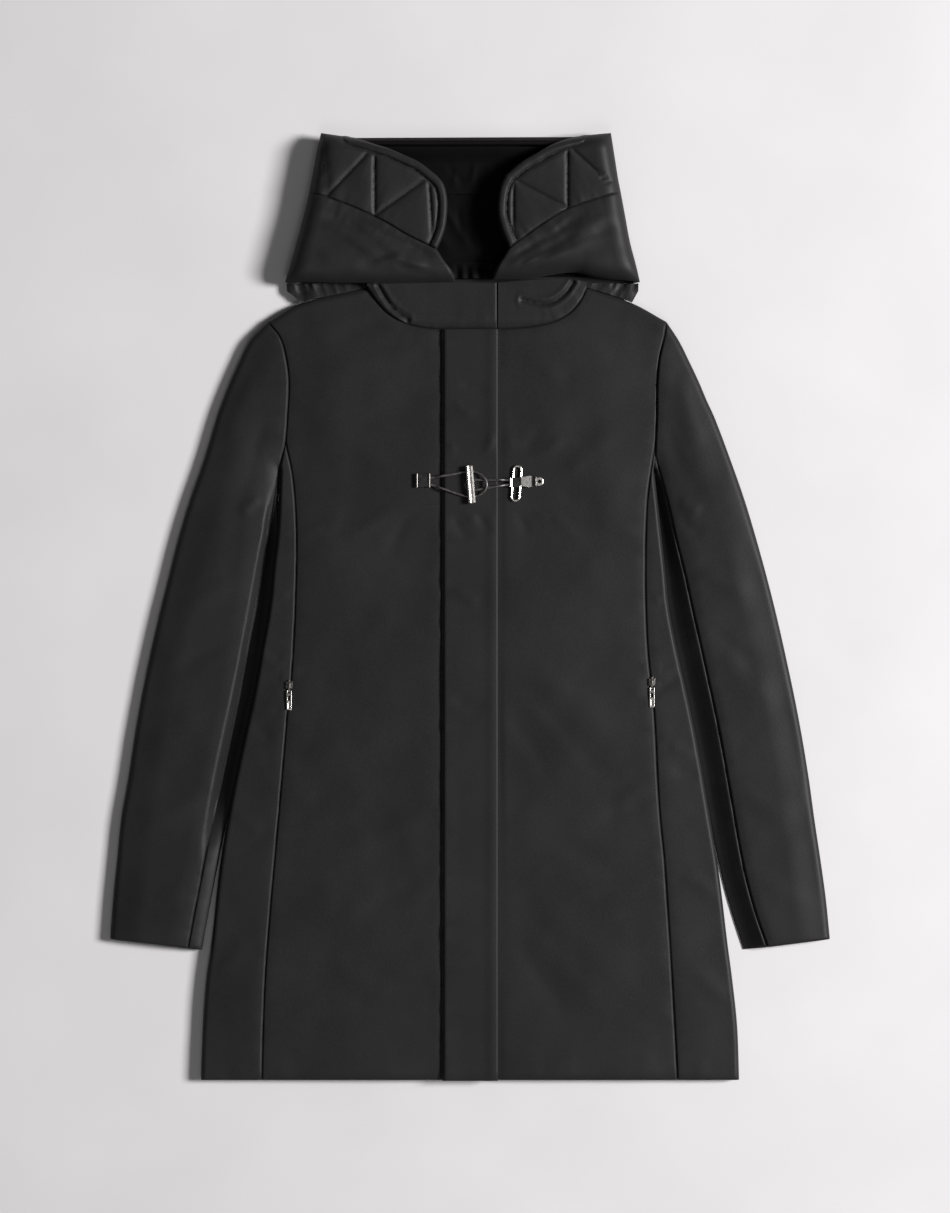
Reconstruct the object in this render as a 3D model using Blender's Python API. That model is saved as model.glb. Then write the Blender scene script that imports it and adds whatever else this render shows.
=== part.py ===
"""A women's hooded toggle coat, laid flat on its back with its sleeves beside it.

X runs to the image's right, Y towards the hood and Z up. Tables are in millimetres, and the
meshes are in metres. The origin lies under the middle of the coat, on the surface it rests on.
"""

import math
from collections import namedtuple

import bmesh
import bpy
import numpy as np
from mathutils import Vector
from mathutils.bvhtree import BVHTree

MM = 0.001
CLOTH = 6.0              # padded wall: shell, wadding and lining together
LAYER_GAP = 0.6          # between the upper and the lower layer
SEAM = 0.3               # between neighbouring pieces
EDGE_RADIUS = CLOTH + LAYER_GAP / 2   # round of a side seam, which lies at this height
HOOD_RADIUS = 17.0       # half the hood's height, and the round of its folds
HEM = -474.0
ARMPIT = 138.0
CROWN = 3.4              # how far the wadding lifts the middle of a panel
SEAM_DIP = 1.4           # how far a seam sinks into the wadding
SEAM_DIP_WIDTH = 5.0
PLACKET_HALF = 28.0
PLACKET_WALL = 3.4
BAND_ROWS = 6
BASE_TOP = 324.4         # the hood's gathered base ends here, under the fold above it
SLEEVE_ROUND = 15.0      # the sleeve's inner edge falls over this width

SIDE_ROWS = {"left": np.s_[:, 0], "right": np.s_[:, -1], "bottom": np.s_[0, :], "top": np.s_[-1, :]}

EdgeRow = namedtuple("EdgeRow", "y left right")
Point = namedtuple("Point", "x y")
RoutePoint = namedtuple("RoutePoint", "x y level above")
Fold = namedtuple("Fold", "x0 y0 x1 y1 width height")
RoundEdge = namedtuple("RoundEdge", "line width")

ARMHOLE = (              # shoulder point down to the armpit
    EdgeRow(286, -203.0, 197.0),
    EdgeRow(270, -190.5, 194.5),
    EdgeRow(250, -184.5, 190.0),
    EdgeRow(225, -181.5, 187.5),
    EdgeRow(192, -183.0, 187.0),
    EdgeRow(165, -185.0, 186.0),
    EdgeRow(138, -190.5, 184.5),
)
SIDE_EDGE = (            # armpit down to the hem
    EdgeRow(138, -190.5, 184.5),
    EdgeRow(80, -193.0, 191.0),
    EdgeRow(40, -197.5, 195.5),
    EdgeRow(0, -201.5, 199.5),
    EdgeRow(-43, -209.0, 207.5),
    EdgeRow(-85, -216.5, 217.0),
    EdgeRow(-128, -226.0, 226.0),
    EdgeRow(-190, -239.0, 237.0),
    EdgeRow(-262, -251.0, 249.0),
    EdgeRow(-335, -259.0, 258.0),
    EdgeRow(-373, -264.5, 263.0),
    EdgeRow(-420, -268.0, 268.0),
    EdgeRow(HEM, -270.0, 270.0),
)
PRINCESS = (             # armhole down to the hem
    EdgeRow(165, -185.0, 186.0),
    EdgeRow(135, -178.5, 181.0),
    EdgeRow(107, -175.5, 177.5),
    EdgeRow(75, -174.0, 176.0),
    EdgeRow(45, -174.0, 175.5),
    EdgeRow(15, -174.8, 175.6),
    EdgeRow(-15, -175.8, 176.4),
    EdgeRow(-45, -177.4, 178.0),
    EdgeRow(-75, -179.6, 181.0),
    EdgeRow(-104, -183.0, 184.0),
    EdgeRow(-135, -185.5, 185.8),
    EdgeRow(-170, -188.5, 187.4),
    EdgeRow(-210, -192.0, 190.0),
    EdgeRow(-255, -196.0, 194.4),
    EdgeRow(-300, -200.0, 197.4),
    EdgeRow(-345, -203.6, 200.4),
    EdgeRow(-390, -206.2, 203.0),
    EdgeRow(-432, -207.6, 205.4),
    EdgeRow(HEM, -208.5, 207.5),
)
SLEEVE_OUTER = (         # shoulder point down to the cuff
    EdgeRow(286, -203.0, 197.0),
    EdgeRow(267, -221.0, 209.5),
    EdgeRow(247, -231.0, 219.5),
    EdgeRow(227, -240.0, 229.0),
    EdgeRow(207, -248.0, 237.5),
    EdgeRow(187, -255.0, 246.5),
    EdgeRow(147, -267.0, 261.5),
    EdgeRow(107, -281.0, 275.5),
    EdgeRow(67, -293.0, 287.5),
    EdgeRow(27, -303.0, 298.5),
    EdgeRow(-13, -313.0, 308.5),
    EdgeRow(-53, -322.0, 317.5),
    EdgeRow(-93, -330.0, 326.0),
    EdgeRow(-133, -337.0, 333.5),
    EdgeRow(-173, -343.0, 340.0),
    EdgeRow(-213, -350.0, 345.5),
    EdgeRow(-253, -354.0, 351.5),
    EdgeRow(-293, -358.0, 357.0),
    EdgeRow(-333, -361.0, 361.0),
)
SLEEVE_INNER = (         # armpit down to the cuff, beside the body's edge as far as it lies there
    EdgeRow(138, -191.2, 185.4),
    EdgeRow(80, -194.0, 192.0),
    EdgeRow(40, -198.5, 196.5),
    EdgeRow(0, -202.5, 200.5),
    EdgeRow(-43, -210.0, 208.5),
    EdgeRow(-85, -217.5, 218.0),
    EdgeRow(-128, -227.0, 227.0),
    EdgeRow(-190, -240.0, 238.0),
    EdgeRow(-262, -253.5, 250.5),
    EdgeRow(-300, -261.0, 260.5),
    EdgeRow(-344, -269.0, 275.0),
)
SLEEVE_SEAM_INSET = EdgeRow(0, 14.0, 23.0)   # how far the under sleeve wraps onto the upper side
NECKLINE = (             # neck point down to the centre front
    EdgeRow(320, -103.0, 117.0),
    EdgeRow(306, -93.0, 110.0),
    EdgeRow(294, -82.0, 99.0),
    EdgeRow(285, -67.0, 82.0),
    EdgeRow(280, -49.0, 58.0),
    EdgeRow(278, -PLACKET_HALF, PLACKET_HALF),
)
BAND_TOP = (
    EdgeRow(325, -103.0, 117.0),
    EdgeRow(327.5, -90.0, 104.0),
    EdgeRow(328, -75.0, 88.0),
    EdgeRow(327, -55.0, 62.0),
    EdgeRow(325.5, -30.0, 40.0),
    EdgeRow(324.3, -PLACKET_HALF / 3, PLACKET_HALF),
)
SHOULDER = (             # shoulder point up to the neck point
    EdgeRow(286, -203.0, 197.0),
    EdgeRow(305, -168.0, 162.0),
    EdgeRow(320, -103.0, 117.0),
)
HOOD_EDGE = (            # top corner down to the bottom corner
    EdgeRow(474, -149.0, 141.0),
    EdgeRow(461, -152.0, 143.0),
    EdgeRow(445, -155.0, 145.5),
    EdgeRow(429, -158.0, 148.0),
    EdgeRow(413.5, -161.0, 151.0),
    EdgeRow(392, -166.0, 155.0),
    EdgeRow(365, -173.0, 160.0),
    EdgeRow(342, -179.5, 166.0),
    EdgeRow(325, -185.0, 170.0),
)
BRIM_SEAM = (Point(-161, 413.5), Point(-142, 408), Point(-118, 399), Point(-95.5, 389),
             Point(-80, 381), Point(-66, 372.5), Point(-50, 364.5), Point(-33, 356.5))
BRIM_SEAM_LEFT = (Point(151, 413.5), Point(137, 410), Point(124, 406), Point(110, 401.5),
                  Point(96, 396), Point(82, 388), Point(68, 379), Point(39, 358))
BRIM_TOP = (Point(-149, 474), Point(-133, 471.5), Point(-118, 469.5), Point(-95.5, 461.5),
            Point(-80, 456.5), Point(-66, 450.5), Point(-50, 443), Point(-33, 430))
BRIM_TOP_LEFT = (Point(141, 474), Point(125, 472.5), Point(108, 470.5), Point(89, 464),
                 Point(78, 459), Point(66, 452), Point(52, 444), Point(36, 431))
BRIM_FRONT = (Point(-33, 430), Point(-26, 421), Point(-22.5, 405), Point(-23.5, 383),
              Point(-28, 367), Point(-33, 356.5))
BRIM_FRONT_LEFT = (Point(36, 431), Point(31, 421), Point(28, 408), Point(27.5, 392),
                   Point(31.5, 375), Point(39, 358))
SIDE_FRONT_EDGE = (Point(-33, 356.5), Point(-27, 347), Point(-20, 337), Point(-15, 324.8))
SIDE_FRONT_EDGE_LEFT = (Point(39, 358), Point(33, 348), Point(28, 340), Point(23, 327))
HOOD_HEM = (Point(-185, 325), Point(-160, 324.6), Point(-136, 324), Point(-106, 323.6),
            Point(-86, 323.6), Point(-66, 324), Point(-40, 324.6), Point(-15, 324.8))
HOOD_HEM_LEFT = (Point(170, 325), Point(153, 326.5), Point(136, 328), Point(119, 331),
                 Point(105, 334), Point(89, 333), Point(60, 328.5), Point(23, 327))

FOLDS = (                # broad soft folds of the fronts and sleeves
    Fold(40, -48, 165, -150, 20, 1.6),
    Fold(42, -150, 150, -190, 22, 1.0),
    Fold(45, -280, 180, -395, 24, 1.7),
    Fold(60, 85, 150, 20, 20, 1.0),
    Fold(48, 170, 150, 235, 24, 1.1),
    Fold(-60, 200, -160, 255, 24, 1.0),
    Fold(-60, 90, -165, 30, 22, 1.0),
    Fold(-60, -120, -170, -160, 24, 0.9),
    Fold(-70, -330, -190, -270, 24, 1.0),
    Fold(250, 140, 285, 40, 14, 1.3),
    Fold(245, -40, 305, -110, 16, 1.2),
    Fold(-240, 120, -265, 0, 14, 1.1),
    Fold(-265, -90, -320, -160, 16, 1.0),
)
WAIST_PLEATS = (         # pulls at the waist of the side panels
    Fold(-212, -38, -184, -52, 5, -1.6),
    Fold(-212, -50, -186, -64, 5, 1.4),
    Fold(214, -70, 184, -82, 5, -1.6),
    Fold(214, -58, 186, -70, 5, 1.4),
)
HOOD_FOLDS = (
    Fold(-90, 346, -40, 337, 7, 1.7),
    Fold(-160, 378, -60, 352, 10, 1.3),
    Fold(60, 335, 140, 380, 9, 1.7),
    Fold(50, 345, 110, 372, 8, -1.2),
)
QUILT_RIGHT = (Point(-146, 460), Point(-142, 410), Point(-101, 453), Point(-95, 390),
               Point(-46, 425), Point(-37, 361))
QUILT_LEFT = (Point(137, 423), Point(100, 456), Point(97, 397), Point(46, 424), Point(43, 362))
QUILT_DEPTH = 1.6
QUILT_WIDTH = 3.4
ROLL_INSET = 9.0         # stitched line inside the brim's rolled edge
FLAP_SAG = 2.0           # how far the hood's loose flaps sink towards their free edge
FLAP_SAG_REACH = 104.0   # and over which distance
ROLL_RADIUS = 2.8        # the rolled edge along the top of the hood's opening
ROLL_HEIGHT = 22.0
FACING_TOP = 460.3
FACING_RISE = 10.2       # how far the facing climbs towards the rolled edge
FACING_RISE_REACH = 18.0

CORD = 2.4               # diameter of the toggle's cords
BAR_TILT = 4.7           # degrees that the toggle bar leans from upright
TAB = Point(-47.0, 126.5)
TAB_CLAMPS = (("tab_clamp_outer", -53.2), ("tab_clamp_inner", -40.8))
CORD_CLAMP = Point(40.1, 124.4)
BAR = Point(0.6, 122.3)
BAR_HALF = 19.0
BAR_ROD = 1.9            # radius of each of the bar's two rods, and half their spacing
BAR_HALF_PITCH = 1.75
RING = Point(46.4, 123.6)
RING_WIRE = 1.3
RING_HALF_WIDTH = 3.9
RING_HALF_STRAIGHT = 13.5
WRAP = Point(46.2, 124.4)
HOOK_THICKNESS = 2.8
HOOK_START = 50.6
HOOK_TIP = 73.7
HOOK_EYE = Point(69.5, 125.5)
HOOK_EYE_RADIUS = 1.9
HOOK_LOW_EDGE = (Point(HOOK_START, 121.2), Point(59.0, 119.6), Point(63.0, 120.2), Point(66.0, 121.6))
HOOK_HIGH_EDGE = (Point(66.0, 129.4), Point(63.0, 130.8), Point(59.0, 131.4), Point(HOOK_START, 129.8))
HOOK_BAND = Point(64.2, 125.5)
LOOP_ROUTE = (           # the loop's middle line, its height above the level of what it lies on
    RoutePoint(-39.4, 129.0, "tab", 0.0),
    RoutePoint(-35.0, 129.6, "tab", 0.4),
    RoutePoint(-29.0, 130.6, "fly", -0.2),
    RoutePoint(-24.0, 131.4, "fly", 0.2),
    RoutePoint(-15.0, 133.0, "fly", 0.0),
    RoutePoint(-4.0, 135.2, "fly", 0.0),
    RoutePoint(3.0, 135.2, "fly", 0.0),
    RoutePoint(9.5, 133.0, "fly", 1.2),
    RoutePoint(14.5, 128.6, "crossing", 0.0),
    RoutePoint(16.8, 122.5, "crossing", 0.1),
    RoutePoint(14.8, 116.2, "crossing", 0.0),
    RoutePoint(9.5, 111.8, "fly", 1.2),
    RoutePoint(3.0, 110.3, "fly", 0.0),
    RoutePoint(-5.0, 110.9, "fly", 0.0),
    RoutePoint(-15.0, 113.8, "fly", 0.0),
    RoutePoint(-24.0, 117.0, "fly", 0.2),
    RoutePoint(-29.0, 118.7, "fly", -0.2),
    RoutePoint(-35.0, 120.8, "tab", 0.4),
    RoutePoint(-39.4, 122.4, "tab", 0.0),
)
BAR_CORD_ROUTE = (
    RoutePoint(39.0, 126.9, "clamp", 0.0),
    RoutePoint(35.0, 126.9, "clamp", 0.4),
    RoutePoint(29.5, 126.9, "fly", 0.1),
    RoutePoint(24.0, 126.8, "fly", 0.2),
    RoutePoint(16.0, 126.8, "fly", 0.0),
    RoutePoint(6.0, 127.0, "fly", 0.0),
    RoutePoint(0.0, 126.6, "fly", 0.0),
    RoutePoint(-3.4, 124.9, "fly", 0.0),
    RoutePoint(-4.7, 121.9, "fly", 0.0),
    RoutePoint(-3.4, 118.9, "fly", 0.0),
    RoutePoint(0.0, 117.2, "fly", 0.0),
    RoutePoint(6.0, 117.0, "fly", 0.0),
    RoutePoint(16.0, 118.6, "fly", 0.0),
    RoutePoint(24.0, 120.0, "fly", 0.2),
    RoutePoint(29.5, 120.9, "fly", 0.1),
    RoutePoint(35.0, 121.8, "clamp", 0.4),
    RoutePoint(39.0, 122.2, "clamp", 0.0),
)
ZIP_PLACES = {"left": Point(-181.0, -79.0), "right": Point(182.0, -76.0)}

BLACK_TWILL = ("#2b2a2b", 0.55, 0.0)
BLACK_LINING = ("#0c0c0d", 0.4, 0.0)
BLACK_LEATHER = ("#141313", 0.35, 0.0)
POLISHED_STEEL = ("#d9d6d2", 0.16, 1.0)
DARK_STEEL = ("#4a4846", 0.3, 1.0)


# ---------------------------------------------------------------- scene and materials

def clear_scene():
    """Removes the start-up objects."""
    for obj in list(bpy.data.objects):
        bpy.data.objects.remove(obj)


def linear(hex_colour):
    """The RGBA value of an sRGB hex colour, in linear light."""
    channels = [int(hex_colour[i:i + 2], 16) / 255 for i in (1, 3, 5)]
    return [c / 12.92 if c <= 0.04045 else ((c + 0.055) / 1.055) ** 2.4 for c in channels] + [1.0]


def add_material(obj, finish):
    """Gives an object its colour, roughness and metallic share."""
    colour, roughness, metallic = finish
    material = bpy.data.materials.new(obj.name + "_finish")
    material.use_nodes = True
    shader = material.node_tree.nodes["Principled BSDF"]
    shader.inputs["Base Color"].default_value = linear(colour)
    shader.inputs["Roughness"].default_value = roughness
    shader.inputs["Metallic"].default_value = metallic
    obj.data.materials.append(material)


def make_object(name, points, faces, finish, smooth_angle=40):
    """One named object from points in millimetres and faces of point numbers."""
    mesh = bpy.data.meshes.new(name)
    mesh.from_pydata([tuple(p) for p in np.asarray(points) * MM], [], faces)
    work = bmesh.new()
    work.from_mesh(mesh)
    bmesh.ops.recalc_face_normals(work, faces=work.faces)
    if work.calc_volume(signed=True) < 0:
        bmesh.ops.reverse_faces(work, faces=work.faces)
    work.to_mesh(mesh)
    work.free()
    mesh.shade_smooth()
    mesh.set_sharp_from_angle(angle=math.radians(smooth_angle))
    obj = bpy.data.objects.new(name, mesh)
    bpy.context.scene.collection.objects.link(obj)
    add_material(obj, finish)
    return obj


# ---------------------------------------------------------------- lines in the plan

def line_of(rows, side):
    """The plan line of one side of a table, side being 'left' or 'right' in the image."""
    return np.array([(getattr(row, side), row.y) for row in rows], float)


def points_of(points):
    """A table of points as a plan line."""
    return np.array([(p.x, p.y) for p in points], float)


def join(*lines):
    """Lines laid end to end, their shared points taken once."""
    return np.vstack([lines[0]] + [line[1:] for line in lines[1:]])


def lengths_along(line):
    """The distance of each of a line's points from its start."""
    steps = np.linalg.norm(np.diff(line, axis=0), axis=1)
    return np.concatenate([[0.0], np.cumsum(steps)])


def at_distance(line, distances):
    """The line's points at these distances from its start."""
    along = lengths_along(line)
    return np.stack([np.interp(distances, along, line[:, k]) for k in (0, 1)], axis=1)


def resample(line, count):
    """The line in equal steps, count of them."""
    return at_distance(line, np.linspace(0, lengths_along(line)[-1], count + 1))


def with_points_at(line, distances):
    """The line with more points on it, at these distances from its start."""
    along = np.union1d(np.round(lengths_along(line), 4), np.round(distances, 4))
    return at_distance(line, along)


def round_steps(width):
    """Distances from a rounded edge that follow its round."""
    return [width * (1 - math.cos(math.radians(a))) for a in (24, 48, 70, 90)]


def stations(length, near, far, count):
    """Distances along a side: the near and far steps of its ends, and equal steps between."""
    start = near[-1] if near else 0.0
    end = length - (far[-1] if far else 0.0)
    middle = np.linspace(start, end, count + 1)
    return np.concatenate([[0.0] if near else [], near[:-1], middle,
                           [length - d for d in reversed(far[:-1])], [length] if far else []])


def side_of(line, near=(), far=(), count=6):
    """The line cut at its stations."""
    return at_distance(line, stations(lengths_along(line)[-1], list(near), list(far), count))


def nearest_on(line, x, y):
    """Distance from each point to the line, and the unit direction from the line into the points' side."""
    best = np.full(np.shape(x), 1e9)
    offset = np.zeros(np.shape(x) + (2,))
    square = np.zeros(np.shape(x) + (2,))
    for a, b in zip(line[:-1], line[1:]):
        run = b - a
        share = np.clip(((x - a[0]) * run[0] + (y - a[1]) * run[1]) / (run @ run), 0, 1)
        off = np.stack([x - a[0] - share * run[0], y - a[1] - share * run[1]], axis=-1)
        distance = np.linalg.norm(off, axis=-1)
        closer = distance < best
        best = np.where(closer, distance, best)
        offset = np.where(closer[..., None], off, offset)
        square = np.where(closer[..., None], np.array([-run[1], run[0]]) / np.linalg.norm(run), square)
    onto = 1.0 if np.sum(offset * square) > 0 else -1.0
    away = np.where(best[..., None] > SEAM, offset / np.maximum(best, 1e-9)[..., None], square * onto)
    return best, away


def smooth_step(value):
    """0 below 0, 1 above 1, and a soft rise between."""
    t = np.clip(value, 0, 1)
    return t * t * (3 - 2 * t)


def coons(left, right, bottom, top):
    """A grid between four sides. Rows run from bottom to top and columns from left to right."""
    across = (lengths_along(bottom) / lengths_along(bottom)[-1]
              + lengths_along(top) / lengths_along(top)[-1]) / 2
    up = (lengths_along(left) / lengths_along(left)[-1]
          + lengths_along(right) / lengths_along(right)[-1]) / 2
    u = across[None, :, None]
    v = up[:, None, None]
    corners = ((1 - u) * (1 - v) * left[0] + u * (1 - v) * right[0]
               + (1 - u) * v * left[-1] + u * v * right[-1])
    return ((1 - u) * left[:, None] + u * right[:, None]
            + (1 - v) * bottom[None] + v * top[None] - corners)


def inset_side(grid, side, amount):
    """Moves one side of a grid into it, square to the side."""
    view = {"left": grid, "right": grid[:, ::-1], "bottom": grid.transpose(1, 0, 2),
            "top": grid[::-1].transpose(1, 0, 2)}[side]
    line = view[:, 0].copy()
    run = np.gradient(line, axis=0)
    normal = np.stack([-run[:, 1], run[:, 0]], axis=1)
    normal /= np.linalg.norm(normal, axis=1)[:, None]
    inward = view[:, 1] - line
    normal *= np.sign(np.sum(normal * inward, axis=1))[:, None]
    view[:, 0] = line + normal * amount


# ---------------------------------------------------------------- relief of the cloth

def fold_relief(x, y, folds):
    """Soft ridges along the folds, fading towards their ends."""
    height = np.zeros(np.shape(x))
    for fold in folds:
        run = np.array([fold.x1 - fold.x0, fold.y1 - fold.y0])
        length = np.linalg.norm(run)
        along = ((x - fold.x0) * run[0] + (y - fold.y0) * run[1]) / length
        off = ((x - fold.x0) * -run[1] + (y - fold.y0) * run[0]) / length
        ends = smooth_step(along / (0.35 * length)) * smooth_step((length - along) / (0.35 * length))
        height += fold.height * np.exp(-(off / fold.width) ** 2) * ends
    return height


def groove(x, y, line, depth, width):
    """A stitched line sunk into the wadding."""
    distance, _ = nearest_on(line, x, y)
    return -depth * np.exp(-(distance / width) ** 2)


# ---------------------------------------------------------------- cloth walls

def round_share(x, y, edges):
    """How high the cloth stands at its round edges, 0 to 1, and where its inner face moves to."""
    share = np.ones(np.shape(x))
    shift = np.zeros(np.shape(x) + (2,))
    for edge in edges:
        distance, away = nearest_on(edge.line, x, y)
        cosine = np.clip(1 - distance / edge.width, 0, 1)
        share = share * np.sqrt(np.maximum(0.0, 1 - cosine ** 2))
        shift += cosine[..., None] * away
    return share, shift


def wall_faces(rows, columns):
    """Faces of a closed wall: an outer grid, an inner grid and the rim between them."""
    def outer(i, j):
        return i * columns + j

    def inner(i, j):
        return rows * columns + i * columns + j

    faces = []
    for i in range(rows - 1):
        for j in range(columns - 1):
            faces.append((outer(i, j), outer(i, j + 1), outer(i + 1, j + 1), outer(i + 1, j)))
            faces.append((inner(i, j), inner(i + 1, j), inner(i + 1, j + 1), inner(i, j + 1)))
    ring = ([(0, j) for j in range(columns)] + [(i, columns - 1) for i in range(1, rows)]
            + [(rows - 1, j) for j in range(columns - 2, -1, -1)] + [(i, 0) for i in range(rows - 2, 0, -1)])
    for a, b in zip(ring, ring[1:] + ring[:1]):
        faces.append((outer(*a), inner(*a), inner(*b), outer(*b)))
    return faces


def make_wall(name, outer, inner, finish):
    """A closed wall between two grids of points."""
    rows, columns = outer.shape[:2]
    points = np.vstack([outer.reshape(-1, 3), inner.reshape(-1, 3)])
    return make_object(name, points, wall_faces(rows, columns), finish)


def keep_on_seams(shift, plan, seams, seams_end):
    """Makes the inner face of a seam slide along the seam, and never across it, down to where it ends."""
    for side in seams:
        row = SIDE_ROWS[side]
        run = np.gradient(plan[row], axis=0)
        run /= np.linalg.norm(run, axis=1)[:, None]
        along = run * np.sum(shift[row] * run, axis=1)[:, None]
        shift[row] = np.where(plan[row][:, 1:] > seams_end, along, shift[row])


def layer(plan, edges, radius, wall, upper, seams=(), lift=0.0, seams_end=HEM - 1):
    """Outer and inner points of an upper or a lower layer over a plan grid."""
    x, y = plan[..., 0], plan[..., 1]
    share, shift = round_share(x, y, edges)
    keep_on_seams(shift, plan, seams, seams_end)
    sign = 1.0 if upper else -1.0
    clear = SEAM / 2
    outer = np.dstack([plan, radius + sign * (clear + (radius - clear + lift) * share)])
    inner_z = radius + sign * (clear + (radius - wall - clear + lift) * share)
    inner = np.dstack([plan + wall * shift, inner_z])
    return outer, inner


def edge_dip(shape, plan, sides):
    """The dip of the outer face towards the seams on these sides."""
    dip = np.zeros(shape)
    for side in sides:
        line = plan[SIDE_ROWS[side]]
        distance, _ = nearest_on(line, plan[..., 0], plan[..., 1])
        dip -= SEAM_DIP * np.exp(-(distance / SEAM_DIP_WIDTH) ** 2)
    return np.maximum(dip, -1.4 * SEAM_DIP)


def body_crown(x, y):
    """The lift of the fronts over the whole body, low at the sides, the hem and the shoulders."""
    half = np.interp(y, [row.y for row in reversed(SIDE_EDGE)], [row.right for row in reversed(SIDE_EDGE)])
    across = smooth_step((half - np.abs(x)) / 60)
    along = smooth_step((y - HEM) / 22) * smooth_step((312 - y) / 40)
    clear_of_placket = smooth_step((np.abs(x) - 30) / 22)
    folds = fold_relief(x, y, FOLDS) * clear_of_placket + fold_relief(x, y, WAIST_PLEATS)
    return (CROWN + folds) * (0.35 + 0.65 * across) * along


def upper_panel(name, sides, edges, seams, relief, finish=BLACK_TWILL, radius=EDGE_RADIUS,
                wall=CLOTH, lift=None):
    """A panel of the upper layer, its outer face raised by its relief."""
    plan = coons(*sides)
    for side in seams:
        inset_side(plan, side, SEAM / 2)
    x, y = plan[..., 0], plan[..., 1]
    raised = lift(x, y) if lift else 0.0
    outer, inner = layer(plan, edges, radius, wall, True, seams, raised)
    share, _ = round_share(x, y, edges)
    outer[..., 2] += (relief(x, y) + edge_dip(x.shape, plan, seams)) * share
    return make_wall(name, outer, inner, finish)


def lower_panel(name, sides, edges, seams, finish=BLACK_TWILL, radius=EDGE_RADIUS, wall=CLOTH,
                seams_end=HEM - 1):
    """A panel of the lower layer, flat where it rests."""
    plan = coons(*sides)
    for side in seams:
        inset_side(plan, side, SEAM / 2)
    outer, inner = layer(plan, edges, radius, wall, False, seams, seams_end=seams_end)
    return make_wall(name, outer, inner, finish)


# ---------------------------------------------------------------- body

def armhole_split(side):
    """The armhole above the princess seam, and the short straight stretch below it."""
    line = line_of(ARMHOLE, side)
    return line[:6], line[5:]


def make_body(side, name):
    """The fronts of one side: 'left' in the image is the wearer's right."""
    flip = side == "right"
    upper_armhole, lower_armhole = armhole_split(side)
    princess = line_of(PRINCESS, side)
    side_edge = line_of(SIDE_EDGE, side)
    neckline = line_of(NECKLINE, side)
    shoulder = line_of(SHOULDER, side)
    shoulder_steps = round_steps(EDGE_RADIUS)
    outer_line = join(with_points_at(upper_armhole, shoulder_steps), princess)
    # the wearer's left front reaches under the fly strip, to the other front
    centre_top = np.array([-PLACKET_HALF + SEAM, neckline[-1][1]]) if flip else neckline[-1]
    centre = np.array([centre_top, (centre_top[0], HEM)])
    extra = [np.array([neckline[-1], centre_top])] if flip else []
    inner_line = join(with_points_at(neckline, shoulder_steps), *extra, centre)
    rows_left = len(outer_line) - len(inner_line) + 1
    inner_line = join(inner_line[:-1], resample(inner_line[-2:], rows_left))
    hem = np.array([(princess[-1][0], HEM), (inner_line[-1][0], HEM)])
    columns = 11 if flip else 9
    top = side_of(shoulder, count=columns)
    bottom = side_of(hem, count=columns)
    left, right = outer_line[::-1], inner_line[::-1]
    if flip:
        left, right, top, bottom = right, left, top[::-1], bottom[::-1]
    upper_panel("front_" + name + "_centre", (left, right, bottom, top), [RoundEdge(shoulder, EDGE_RADIUS)],
                ("left", "right"), body_crown)

    edge_steps = round_steps(EDGE_RADIUS)
    panel_rows = len(princess) - 1
    outer_side = resample(side_edge, panel_rows)
    top = side_of(lower_armhole[::-1], near=edge_steps, count=2)
    bottom = side_of(np.array([side_edge[-1], princess[-1]]), near=edge_steps, count=2)
    left, right = outer_side[::-1], princess[::-1]
    if flip:
        left, right, top, bottom = right, left, top[::-1], bottom[::-1]
    inner_name = "right" if side == "left" else "left"
    upper_panel("side_front_" + name, (left, right, bottom, top), [RoundEdge(side_edge, EDGE_RADIUS)],
                (inner_name, "top"), body_crown)


def make_back():
    """The back, one panel on the surface, with a round up to the side seams."""
    sides = []
    for side in ("left", "right"):
        armhole = with_points_at(line_of(ARMHOLE, side), round_steps(EDGE_RADIUS))
        sides.append(join(armhole, resample(line_of(SIDE_EDGE, side), 14))[::-1])
    shoulder_left = line_of(SHOULDER, "left")
    shoulder_right = line_of(SHOULDER, "right")
    top = join(shoulder_left[:2], np.array([shoulder_left[1], (-112, 321.5)]),
               np.array([(-112, 321.5), (-100, 324.7)]),
               resample(np.array([(-100.0, 324.7), (114.0, 324.7)]), 4),
               np.array([(114, 324.7), (124, 321.5)]), np.array([(124, 321.5), shoulder_right[1]]),
               shoulder_right[:2][::-1])
    edge_steps = round_steps(EDGE_RADIUS)
    width = sides[1][0][0] - sides[0][0][0]
    columns = len(top) - 1
    bottom = at_distance(np.array([sides[0][0], sides[1][0]]),
                         stations(width, edge_steps, edge_steps, columns - 8))
    edges = [RoundEdge(line_of(SIDE_EDGE, side), EDGE_RADIUS) for side in ("left", "right")]
    edges += [RoundEdge(shoulder_left[:2], EDGE_RADIUS), RoundEdge(shoulder_right[:2], EDGE_RADIUS)]
    lower_panel("back", (sides[0], sides[1], bottom, top), edges, ("left", "right"), seams_end=ARMPIT + 0.5)


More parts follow.
